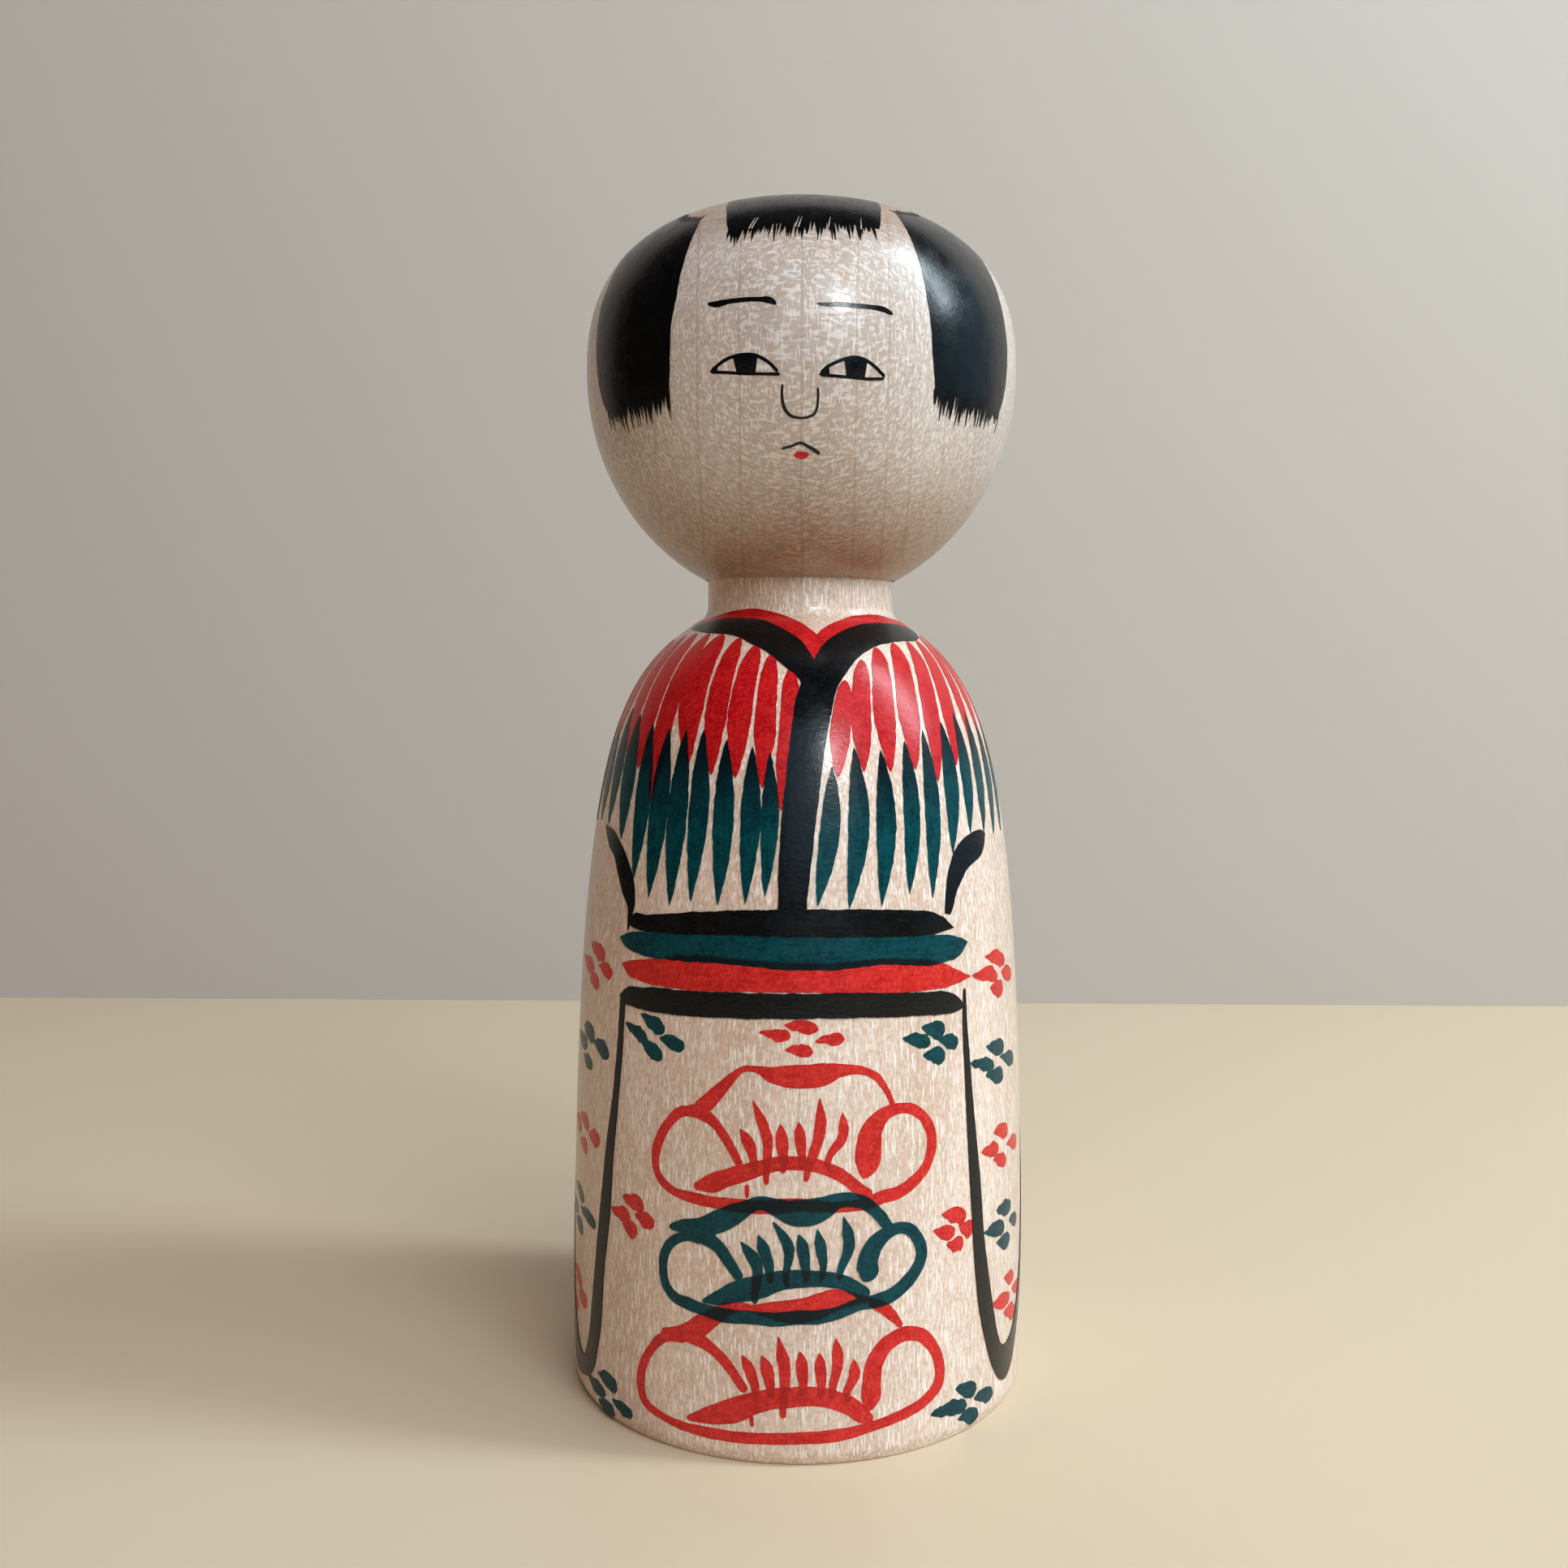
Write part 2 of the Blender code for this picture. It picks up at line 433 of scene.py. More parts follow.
def turned(name, outline, material):
    """Closed solid made by turning an outline of (radius, height) round Z."""
    points, faces, rings = [], [], []
    for radius, height in outline:
        if radius < 1e-7:
            rings.append([len(points)])
            points.append((0.0, 0.0, height))
            continue
        start = len(points)
        rings.append(range(start, start + TURN_SEGMENTS))
        for i in range(TURN_SEGMENTS):
            angle = 2 * math.pi * i / TURN_SEGMENTS
            points.append((radius * math.cos(angle), radius * math.sin(angle), height))
    for low, high in zip(rings, rings[1:]):
        for i in range(TURN_SEGMENTS):
            j = (i + 1) % TURN_SEGMENTS
            if len(low) == 1:
                faces.append((low[0], high[j], high[i]))
            elif len(high) == 1:
                faces.append((low[i], low[j], high[0]))
            else:
                faces.append((low[i], low[j], high[j], high[i]))
    piece = mesh_object(name, points, faces, material)
    piece.data.set_sharp_from_angle(angle=SHARP_ANGLE)
    return piece


peg_low, peg_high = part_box("neck_peg")
body_floor = peg_low.z - END_GAP
head_floor = peg_high.z + END_GAP
socket_radius = (peg_high.x - peg_low.x) / 2 + FIT_GAP
rim_radius = head_rings[0][1]
seat_height = neck_top + FIT_GAP
base_radius = rings_of("body")[0][1]

body_outline = [(0.0, 0.0), (base_radius * 0.5, 0.0)]
body_outline += [(base_radius + out, up) for out, up in BASE_EDGE]
body_outline += [tuple(p) for p in shoulder[1:]]
body_outline += [(neck_radius, neck_top - NECK_EDGE), (neck_radius - NECK_EDGE, neck_top)]
body_outline += [(socket_radius, neck_top), (socket_radius, body_floor), (0.0, body_floor)]
head_outline = [(0.0, head_floor), (socket_radius, head_floor), (socket_radius, seat_height)]
head_outline += [(rim_radius, seat_height)]
head_outline += [tuple(p) for p in head_curve[:-1]]
head_outline += [(0.0, head_curve[-1][1])]

body_piece = turned("turned_body", body_outline, wood_body)
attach(body_piece, "body")
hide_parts("body")
head_piece = turned("turned_head", head_outline, wood_head)
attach(head_piece, "head")
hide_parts("head")

bare_wood = new_material("bare_dowel_wood")
bare_tree = bare_wood.node_tree
bare_nodes = wood_nodes(bare_tree, BODY_WOOD)
bare_rough = mapped(bare_tree, bare_nodes["grit"], 0.3, 0.7, 0.62, 0.78)
surface(bare_tree, bare_nodes["colour"], bare_rough, bare_nodes["height"], 0.03, 0.0, 0.3)
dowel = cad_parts["neck_peg"]
dowel.data.materials.clear()
dowel.data.materials.append(bare_wood)


# --- paint films
def flowing(skin, points, spacing=SPACING):
    """A smooth line through marks, and how far along it each point is in mm.

    Columns after the first two, such as a width, follow along.
    """
    values = np.array(points, float)
    flat = skin.flat(values[:, :2])
    steps = np.maximum(np.hypot(*np.diff(flat, axis=0).T), 1e-4)
    knots = np.concatenate([[0.0], np.cumsum(steps)])
    count = max(4, int(knots[-1] / spacing) + 2)
    at = np.linspace(0, knots[-1], count)
    return hermite(knots, values, at), at


def wobble(count, size, reach):
    """Seeded unevenness of a hand-drawn edge: count values of about size, smooth over reach."""
    knots = max(3, int(count / reach) + 2)
    raw = np.array([rng.uniform(-size, size) for _ in range(knots)])
    return np.interp(np.linspace(0, knots - 1, count), np.arange(knots), raw)


def ragged(count, size):
    """Slow and quick unevenness of an edge, added together."""
    return wobble(count, size, 4) + wobble(count, size * 0.6, 1.3)


def stroke(skin, points, shape=None, width=None, caps=True, rough=0.05, columns=None):
    """Grid of marks of a brush stroke. The widths in mm are the third column, or width times shape."""
    line, at = flowing(skin, points)
    marks = line[:, :2]
    length = at[-1]
    if width is None:
        widths = np.maximum(line[:, 2], THINNEST)
    else:
        widths = width * shape(at / length)
    if caps:
        for away in (at, length - at):
            reach = np.maximum(widths, 0.05) / 2
            inside = np.clip(away / reach, 0, 1)
            widths = widths * np.sqrt(np.clip(1 - (1 - inside) ** 2, 0.0004, 1))
    flat = skin.flat(marks)
    flat[:, 0] = np.radians(marks[:, 0]) * skin.ring(marks[:, 1])[0].mean()
    run = np.gradient(flat, axis=0)
    run /= np.maximum(np.hypot(run[:, 0], run[:, 1]), 1e-9)[:, None]
    side = np.stack([-run[:, 1], run[:, 0]], axis=-1)
    left, right = (widths / 2 + ragged(len(at), rough) * np.minimum(1, widths) for _ in range(2))
    columns = columns or max(3, int(np.max(widths) / STROKE_COLUMN) + 2)
    grid, across = [], []
    for u in np.linspace(-1, 1, columns):
        offset = u * np.where(u < 0, right, left)
        grid.append(skin.moved(marks, side[:, 0] * offset, side[:, 1] * offset))
        across.append(offset)
    along = np.repeat(at[:, None], columns, axis=1)
    return np.stack(grid, axis=1), along, np.stack(across, axis=1)


def patch(skin, first, second, rough=0.05):
    """Grid of marks between two edges that run the same way."""
    lines = [flowing(skin, points) for points in (first, second)]
    count = max(len(at) for _, at in lines)
    edges = []
    for line, at in lines:
        places = np.linspace(0, at[-1], count)
        edges.append(np.stack([np.interp(places, at, line[:, k]) for k in (0, 1)], axis=-1))
    gap = skin.flat(edges[1]) - skin.flat(edges[0])
    widths = np.hypot(gap[:, 0], gap[:, 1])
    toward = gap / np.maximum(widths, 1e-6)[:, None]
    for k, sign in ((0, -1), (1, 1)):
        shake = sign * ragged(count, rough) * np.minimum(1, widths)
        edges[k] = skin.moved(edges[k], toward[:, 0] * shake, toward[:, 1] * shake)
    columns = max(3, int(np.max(widths) / PATCH_COLUMN) + 2)
    shares = np.linspace(0, 1, columns)
    grid = edges[0][:, None, :] * (1 - shares[None, :, None]) + edges[1][:, None, :] * shares[None, :, None]
    mid = skin.flat((edges[0] + edges[1]) / 2)
    along = np.concatenate([[0], np.cumsum(np.hypot(*np.diff(mid, axis=0).T))])
    along = np.repeat(along[:, None], columns, axis=1)
    return grid, along, (shares[None, :] - 0.5) * widths[:, None]


def border(grid):
    """The values round a grid's edge, in order."""
    return np.concatenate([grid[0, :], grid[1:, -1], grid[-1, -2::-1], grid[-2:0:-1, 0]])


def inside_any(marks, outlines):
    """1 where a mark lies in one of the outlines, else 0."""
    found = np.zeros(len(marks), bool)
    for outline in outlines:
        low, high = outline.min(0), outline.max(0)
        near = np.all((marks >= low) & (marks <= high), axis=1)
        if not near.any():
            continue
        x, y = marks[near, 0][:, None], marks[near, 1][:, None]
        x0, y0 = outline[:, 0], outline[:, 1]
        x1, y1 = np.roll(x0, -1), np.roll(y0, -1)
        crosses = (y0 > y) != (y1 > y)
        at = (x1 - x0) * (y - y0) / np.where(y1 == y0, 1e-9, y1 - y0) + x0
        found[np.flatnonzero(near)] |= (np.sum(crosses & (x < at), axis=1) % 2).astype(bool)
    return found.astype(float)


def sheet_faces(rows, columns, start, flip):
    """Faces of a thin closed sheet: a grid of points on top, the same grid below and walls round them."""
    count = rows * columns
    index = np.arange(count).reshape(rows, columns) + start
    quads = np.stack([index[:-1, :-1], index[:-1, 1:], index[1:, 1:], index[1:, :-1]], -1).reshape(-1, 4)
    loop = border(index[..., None])[:, 0]
    walls = np.stack([loop, loop + count, np.roll(loop, -1) + count, np.roll(loop, -1)], -1)
    if flip:
        quads, walls = quads[:, ::-1], walls[:, ::-1]
    return quads.tolist() + (quads[:, ::-1] + count).tolist() + walls.tolist()


def painted(name, body, slot, points, faces, values, material=None):
    """A film's mesh, with the values that its paint reads, riding on its body."""
    piece = mesh_object(name, points, faces, material or PAINTS[slot])
    piece.data.set_sharp_from_angle(angle=FILM_SHARP_ANGLE)
    for key, value in values.items():
        attribute = piece.data.attributes.new(key, "FLOAT", "POINT")
        attribute.data.foreach_set("value", np.array(value, np.float32))
    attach(piece, body)


def edge_distance(points, rim):
    """Distance in mm from each point to the nearest point of the rim, worked out in parts."""
    away = np.full(len(points), np.inf)
    for part in np.array_split(rim, max(1, len(rim) // 200)):
        away = np.minimum(away, np.sqrt(((points[:, None] - part[None]) ** 2).sum(2)).min(1) / MM)
    return away


def faces_inward(skin, grid):
    """Whether the grid's rows and columns turn the wrong way round for faces that look out."""
    row, column = grid.shape[0] // 2, grid.shape[1] // 2
    points = skin.points(grid, 0)
    middle = points[row, column]
    turn = np.cross(middle - points[row - 1, column], middle - points[row, column - 1])
    centre = head_widest if skin is HEAD else middle[2]
    return np.dot(turn, middle - np.array([0, 0, centre])) > 0


def film(name, body, strokes, layer, slot, over=(), fade=0.0, material=None):
    """One painted piece: every stroke is a thin closed film standing a little over the wood.

    The paint is darker where it lies over the outlines in over, and over the
    first fade of each stroke's length.
    """
    skin = HEAD if body == "head" else BODY
    points, faces = [], []
    values = {"along": [], "across": [], "edge": [], "under": []}
    for number, (grid, along, across) in enumerate(strokes):
        lift = LIFT + LAYER * layer + STROKE_STEP * (number % STROKE_LEVELS)
        top = skin.points(grid, lift).reshape(-1, 3)
        bottom = skin.points(grid, -SINK).reshape(-1, 3)
        faces.extend(sheet_faces(*grid.shape[:2], len(points), faces_inward(skin, grid)))
        points.extend(top.tolist() + bottom.tolist())
        away = edge_distance(top, skin.points(border(grid), lift))
        under = inside_any(grid.reshape(-1, 2), over)
        if fade:
            under = np.maximum(under, np.clip(1.25 - along / (along.max() * fade), 0, 1).ravel())
        for key, value in zip(values, (along + STREAK_SHIFT * number, across, away, under)):
            values[key].extend(np.tile(value.ravel(), 2))
    painted(name, body, slot, points, faces, values, material)


# Widths along a stroke, as a share of its largest width
def round_top(t):
    """Petal that starts round and ends in a point."""
    start = np.sqrt(np.clip(1 - (1 - np.clip(t / 0.20, 0, 1)) ** 2, 0.001, 1))
    swell = 0.74 + 0.36 * np.sin(np.clip(t / 0.62, 0, 1) * math.pi / 2)
    taper = np.clip((1 - t) / 0.36, 0, 1) ** 0.62
    return np.maximum(start * swell * taper, 0.02)


def two_points(t):
    """Petal pointed at both ends."""
    return np.maximum(np.sin(math.pi * t ** 0.95) ** 0.80 * 0.97, 0.02)


def teardrop(t):
    """Short dab: pointed where the brush lands, fat where it lifts."""
    grow = np.clip(t / 0.55, 0, 1) ** 0.65
    close = np.sqrt(np.clip(1 - np.clip((t - 0.58) / 0.42, 0, 1) ** 2.6, 0.001, 1))
    return np.maximum(grow * close, 0.03)


def stamen(t):
    """Fine line that swells past its middle and ends in a point."""
    return 0.45 + 0.55 * np.clip(t / 0.55, 0, 1) - np.clip((t - 0.72) / 0.28, 0, 1) ** 1.4 * 0.94


def petal(azimuth, height, left, right, wide, tip_azimuth, tip_height, shape):
    """One petal from its top over the middle of its widest part to its tip."""
    middle = ((left + right) / 2, wide)
    width = math.radians(right - left) * float(BODY.ring(wide)[0])
    return stroke(BODY, [(azimuth, height), middle, (tip_azimuth, tip_height)], shape, width, caps=False,
                  rough=0.07)


# Collar
red_collar = [
    patch(BODY,
          [(-72, 117.8), (-57, 118.7), (-45, 119.3), (-30, 119.65), (-20, 119.4), (-10, 118.7), (0, 117.6),
           (4, 116.8), (7.5, 115.8)],
          [(-70, 116.9), (-60, 117.4), (-50, 117.9), (-40, 118.1), (-30, 118.0), (-20, 117.7), (-10, 116.7),
           (-5, 115.9), (0, 114.7), (2.5, 113.6), (5.3, 111.9)]),
    patch(BODY,
          [(7.5, 115.8), (10, 116.5), (15, 117.3), (20, 117.8), (30, 118.5), (40, 118.8), (50, 118.9),
           (60, 118.6), (70, 118.2), (78, 118)],
          [(5, 112), (7, 113.1), (10, 114.3), (15, 115.4), (20, 116.1), (30, 117.0), (40, 117.3),
           (50, 117.3), (60, 117.2), (70, 116.9), (76, 116.6)]),
]
black_collar = [
    patch(BODY,
          [(-71, 117), (-60, 117.6), (-50, 118.1), (-40, 118.3), (-30, 118.2), (-20, 117.9), (-10, 116.9),
           (-5, 116.1), (0, 115), (2.5, 113.9), (5, 112.2), (7.4, 109.5)],
          [(-70.5, 116.8), (-60, 116.4), (-50, 116.1), (-40, 115.9), (-32, 115.7), (-25, 115.1),
           (-20, 114.4), (-15, 113.7), (-10, 112.6), (-5, 111.1), (0, 109.3), (0.5, 107)]),
    patch(BODY,
          [(3.4, 109.5), (5, 112.2), (7, 113.3), (10, 114.5), (15, 115.6), (20, 116.3), (30, 117.2),
           (40, 117.5), (50, 117.5), (60, 117.4), (70, 117), (75, 116.6)],
          [(9.2, 104.8), (10, 106), (12, 108.2), (15, 109.9), (20, 111.9), (25, 113.1), (32, 114.1),
           (40, 114.6), (50, 114.9), (60, 115), (70, 115.6), (75, 116.2)]),
]
front_band = [patch(
    BODY,
    [(2, 111.5), (0.5, 109), (-1, 107), (-2, 104), (-2.8, 100), (-3.5, 96), (-4.5, 90), (-4.9, 85),
     (-5, 77)],
    [(8.5, 111.5), (11, 108), (10, 105.7), (8, 102.3), (6.7, 99), (5.3, 94), (4, 89), (3, 84), (2.2, 80),
     (1.7, 77)])]

# Shoulder petals: top, left and right azimuth of the widest part, its height, tip
RED_PETALS = [
    (-3.2, 111, -5.6, 0.5, 104, -4.7, 91.5), (-10.5, 113, -13, -7, 106, -9.7, 94.5),
    (-17.5, 114.3, -21.5, -14.4, 107, -17.2, 95.8), (-26.5, 115.3, -29.8, -22.5, 109, -24.3, 96.1),
    (-37, 115.8, -40.5, -31.2, 107.3, -32, 97.6), (-46, 116, -48.8, -40.8, 110, -43.5, 92),
    (-56, 116, -58.8, -50, 110, -51.5, 96.3), (-66, 115.7, -68, -60.5, 111, -60.5, 98.5),
    (-75, 115, -77, -70, 108, -73, 99), (-84, 115.2, -86, -79, 109, -81, 98),
    (15, 109.3, 9.4, 14.9, 103.6, 10.2, 96), (22.8, 112.2, 16, 22, 106.5, 17.5, 96.7),
    (31.5, 114, 23.2, 30, 106.5, 25.3, 96.6), (42.3, 114.7, 32, 39.4, 107, 33.3, 96.8),
    (53, 114.9, 42.4, 49.2, 108, 40.8, 95), (62.5, 115.1, 52.4, 59.6, 109.5, 49.5, 97),
    (72, 115.8, 62.5, 68, 110, 60.5, 98), (80, 116, 71, 77, 111, 70, 100),
    (89, 115.6, 80, 86, 110.5, 79, 99),
]
TEAL_PETALS = [
    (-8, 99.3, -9.8, -5, 91, -8.2, 79.8), (-13, 100.1, -15.2, -9.7, 91, -13, 78.7),
    (-20.8, 101, -22.6, -16.7, 90, -20, 78.3), (-28.5, 102.3, -30, -23.9, 92, -27.3, 78.5),
    (-34.6, 102.3, -36.7, -30.2, 91, -33.5, 77.7), (-41.3, 102.3, -43.5, -36.5, 91, -40.5, 78.4),
    (-49.3, 102.8, -50, -43.4, 91, -46.8, 80.8), (-58.3, 104, -59.3, -51.9, 94, -54.5, 86),
    (-66.3, 104.8, -66.8, -60.3, 95, -63.5, 87.8), (-75, 103, -74.6, -68.4, 95, -71, 88),
    (-83, 103, -83.4, -77, 95, -79, 87.5), (8.8, 97.5, 5.4, 10.7, 90, 4.5, 78.5),
    (15.2, 100, 12.5, 18.3, 90, 12.2, 78.1), (23, 99.6, 20, 25.7, 90, 20.5, 78.3),
    (31, 100.8, 28, 33.2, 91, 28.2, 79.7), (38.3, 102.2, 34.9, 40.3, 92, 35, 78.9),
    (47, 103.3, 43, 49.1, 95, 43.2, 84.7), (55, 104.5, 51.3, 57, 97, 51.5, 87.3),
    (63, 104.4, 59, 64.5, 97, 58.8, 87), (71, 103, 67, 72.3, 96, 65.5, 86.5),
    (79, 103, 75, 80.6, 96, 73.5, 86.5),
]
red_petals = [petal(*row, round_top) for row in RED_PETALS]
teal_petals = [petal(*row, two_points) for row in TEAL_PETALS]

# Arms
left_arm = [stroke(BODY, [
    (-65.2, 87.5, 0.3), (-60, 85.9, 2.4), (-55.5, 84.3, 2.6), (-51.5, 81.8, 3.2), (-48.5, 79, 2.9),
    (-47, 76.7, 1.6), (-47.2, 75, 0.8), (-47.4, 73.2, 0.2)])]
right_arm = [patch(
    BODY,
    [(59.2, 86.9), (57, 87.5), (53, 87.4), (49, 86.8), (45.5, 85.8), (42.5, 84), (40.5, 81.8), (39.5, 79.5),
     (38.8, 76.5)],
    [(59.1, 86.7), (57.5, 85), (55, 83.8), (53, 83.3), (48, 82.2), (45, 80.4), (43, 79), (41.8, 77.3),
     (40.5, 76.2)])]

# Belts, from the top down: slot, layer, upper edge and lower edge between their ends
BELTS = [
    ("black_ink", 5, [
        (-47.5, 74.6), (-46, 75.6), (-40, 76), (-30, 76.9), (-20, 77.5), (-10, 77.9), (0, 78.1),
        (10, 78.05), (20, 77.8), (30, 77.3), (36, 76.6), (38.5, 75.8), (41.3, 74.4)],
     [(-47.5, 74.5), (-46, 74), (-38, 73.7), (-30, 73.9), (-20, 74.2), (0, 74.3), (10, 74.2), (20, 74),
      (38, 74), (41.3, 74.3)]),
    ("teal_dye", 4, [
        (-50.5, 72.1), (-48, 72.8), (-44, 73.3), (-33, 73.9), (-20, 74.3), (5, 74.3), (30, 74), (38, 73.5),
        (43.5, 72.8), (46.2, 72.05)],
     [(-50.5, 72.0), (-48, 71), (-44, 70.3), (-35, 70.1), (-20, 70.3), (0, 69.8), (10, 69.8), (20, 70.2),
      (36, 69.6), (44, 70.6), (46.2, 71.9)]),
    ("red_dye", 3, [
        (-48.8, 68.5), (-46, 69), (-42, 69.5), (-36, 70.2), (-30, 70.9), (-10, 71.0), (0, 70.8), (20, 71.1),
        (30, 70.7), (36, 69.8), (40, 68.9), (43, 68), (46.7, 67.1)],
     [(-48.8, 68.3), (-47, 67.3), (-42, 66.5), (-36, 66.3), (-20, 66.4), (-10, 66.7), (10, 66.6),
      (20, 66.3), (30, 66.1), (41, 66.3), (46.7, 66.9)]),
    ("black_ink", 6, [
        (-49, 63.9), (-47, 64.9), (-40, 65.7), (-30, 66.1), (-10, 66.5), (10, 66.6), (30, 66), (37, 65.6),
        (40, 65.1), (42.6, 64), (44, 63.1)],
     [(-49, 63.6), (-47.6, 62.9), (-44, 62.6), (-30, 62.6), (-10, 63), (10, 63.2), (30, 62.7), (41, 62.5),
      (44, 62.9)]),
]

# Long sleeves: a line down from the lowest belt, round and up again behind
left_sleeve = [patch(
    BODY,
    [(-48.8, 63.7), (-49.5, 55), (-50.5, 49.5), (-52.5, 43), (-55, 33.5), (-57, 26), (-59.3, 18),
     (-61.5, 11.5), (-63.5, 8.3), (-66, 6.5), (-70, 7.3), (-76, 12.5), (-82, 21), (-88, 34), (-93, 49),
     (-96, 62)],
    [(-46.8, 63.5), (-47.3, 55), (-48.7, 46), (-49.8, 40), (-51, 31), (-53.5, 22), (-55.5, 12), (-57, 9),
     (-59, 6), (-61.5, 4.3), (-65, 3.5), (-69, 3), (-73, 3.4), (-79, 8), (-85, 18), (-91, 33), (-95.5, 49),
     (-97.5, 62)])]
right_sleeve = [patch(
    BODY,
    [(43.9, 65.3), (43.4, 62.5), (43.6, 52), (44.6, 40), (45.6, 32), (47, 23), (48.8, 17), (51.5, 12),
     (55, 7.5), (59, 4.8), (61.5, 4.3), (66, 5.4), (70, 8.6), (76, 14.5), (82, 23), (88, 35), (93, 49),
     (96, 62)],
    [(44.6, 65.5), (44.7, 62.5), (45.5, 54.5), (47.3, 44), (48.9, 37), (50.5, 28), (52.2, 23),
     (54.5, 17.3), (57.5, 12), (59, 10.4), (61, 9.8), (66, 10.4), (70, 13), (75, 18), (80.5, 26),
     (86.5, 38), (91.5, 50), (94.5, 62)])]

# Sprigs of four dabs, each from its pointed end to its fat end
RED_SPRIGS = [
    (-9.2, 61.2, -1.7, 60.6, 0.75), (-3.2, 62.3, 4.7, 61.6, 0.72), (3.8, 60, 10.8, 60.3, 0.75),
    (-3, 58.9, 3.5, 58.5, 0.78), (-67.5, 69.5, -57.5, 68.3), (-61, 67, -53, 66.5), (-75, 67, -64, 66),
    (-67, 64.6, -60.2, 63.8), (-71, 43.2, -63.5, 42.2), (-63.5, 41.3, -56.5, 41), (-78, 41.8, -70, 40.8),
    (-71.5, 39, -64, 38.7), (-46, 34.7, -38.5, 33.8), (-50.5, 32.3, -43, 31.8), (-41.5, 32.8, -35.2, 31.8),
    (-46, 30.7, -40.5, 30), (-78, 18, -68, 16.7), (-71.5, 15, -63.5, 14.7), (-85, 16.2, -76.5, 15.2),
    (-79.5, 13, -71.5, 12.4), (53.7, 69.2, 65.5, 67.5), (47.5, 67, 60, 65.8), (62.5, 66, 71, 64.8),
    (55.5, 64.5, 63.2, 63.5), (55.3, 43, 63.8, 41.7), (49.5, 41, 58, 40.2), (63, 40.2, 72, 38.8),
    (55, 39, 62.5, 37.5), (61, 20, 68.5, 18.8), (54.5, 17.3, 65, 16.2), (67, 17, 76, 15.5),
    (61, 14.6, 70, 12.8), (35.5, 33.8, 43.5, 32.3), (33, 31.8, 39.5, 30.3), (41, 31.5, 46, 30),
    (37, 29.3, 42.5, 28.3),
]
TEAL_SPRIGS = [
    (-41, 61.8, -33.3, 59.8), (-46.5, 60, -38.3, 58.2), (-34.8, 59, -27.5, 58), (-40.5, 57.8, -33.7, 56),
    (30.3, 61, 37.3, 60), (25, 59.8, 32.8, 58.5), (35, 58.9, 41.5, 57.8), (30.5, 57, 37, 56),
    (-70.5, 56.8, -61.5, 55.8), (-62, 55.4, -53, 54.3), (-77, 55.2, -66.5, 54), (-69.5, 52.4, -62, 51.5),
    (-76, 31.5, -66.3, 30.3), (-69.5, 28.8, -58, 28), (-82, 27.5, -73, 27.5), (-76, 26, -67, 25.3),
    (-57, 6, -47.7, 5.3), (-62.5, 4, -52.7, 3.5), (-50, 3.5, -42, 2.6), (-56.5, 1.8, -48.7, 1.5),
    (52.5, 56.2, 62.3, 54.9), (45.7, 54.5, 56.2, 52.8), (59.5, 53.8, 70, 52), (52, 52, 61.3, 50.5),
    (56.5, 31.2, 65.8, 30), (50.3, 28.8, 61.2, 27.7), (64.5, 28.2, 71.5, 27), (56.5, 26.3, 65, 25.3),
    (40.2, 7.5, 47.8, 6), (32.5, 5, 44.2, 4.3), (46.8, 4.8, 55.2, 3.5), (41, 2.8, 48.7, 2),
]


def dab(azimuth, height, end_azimuth, end_height, share=1.0):
    """One sprig petal, a little bowed; share makes it thinner."""
    middle = ((azimuth + end_azimuth) / 2, (height + end_height) / 2 + rng.uniform(-0.15, 0.35))
    return stroke(BODY, [(azimuth, height), middle, (end_azimuth, end_height)], teardrop,
                  rng.uniform(2.1, 2.6) * share, caps=False, rough=0.20)


# Plum blossoms: brush lines of (azimuth, height, width) and stamens from base to tip
TOP_PLUM = [
    [(-24.5, 49.9, 1.8), (-22.5, 50.3, 2.2), (-19, 52.3, 2), (-16, 54.2, 1.4), (-12.5, 56, 0.9),
     (-10, 56.1, 0.9), (-6, 55.4, 2.2), (-2, 55.2, 3.1), (2, 55.2, 3.3), (6, 55.5, 3.1), (10, 56, 1.8),
     (14, 55.9, 1.2), (18, 54.9, 1.1), (20, 53.5, 0.9), (22.5, 50.5, 0.7)],
    [(-22, 49.2, 1.5), (-28, 49.1, 1.5), (-31.3, 47.3, 1.4), (-33.7, 45, 1.5), (-35.1, 42.5, 1.5),
     (-34.9, 40.5, 1.2), (-33.3, 38.9, 1.3), (-30, 37.7, 1.2), (-25, 37.2, 1.6), (-20, 37, 1.7),
     (-10, 36.9, 2), (0, 37.3, 2), (10, 37, 1.6), (15, 37.2, 1.8), (20, 37.9, 1.9), (24, 38.3, 1.8),
     (28, 39.6, 1.7), (31, 41.3, 1.6), (32.6, 43.8, 1.7), (32.3, 46.3, 1.6), (30, 48.6, 1.5),
     (27, 49.8, 1.5), (24, 50.1, 1.5), (20.5, 49.6, 2), (17.5, 47.8, 3), (16.3, 45, 3.7), (16, 42.5, 3.3),
     (15, 40.7, 1)],
    [(-27, 49.3, 1.3), (-24, 49.5, 1.9), (-21.5, 49, 1.8), (-19, 47.9, 1.4), (-16.5, 46, 1.3),
     (-14.5, 44, 1.2), (-13, 42.4, 1.1)],
    [(-24.5, 38.8, 0.8), (-20, 39.6, 2.6), (-16, 40.7, 2.5), (-12, 41.6, 2.4), (-8, 42.5, 2.1),
     (-4, 43.1, 2), (0, 43.2, 1.9), (4, 42.9, 1.9), (8, 42, 1.9), (11, 40.9, 1.7), (14, 39.3, 1.7),
     (17, 38, 1.9)],
]
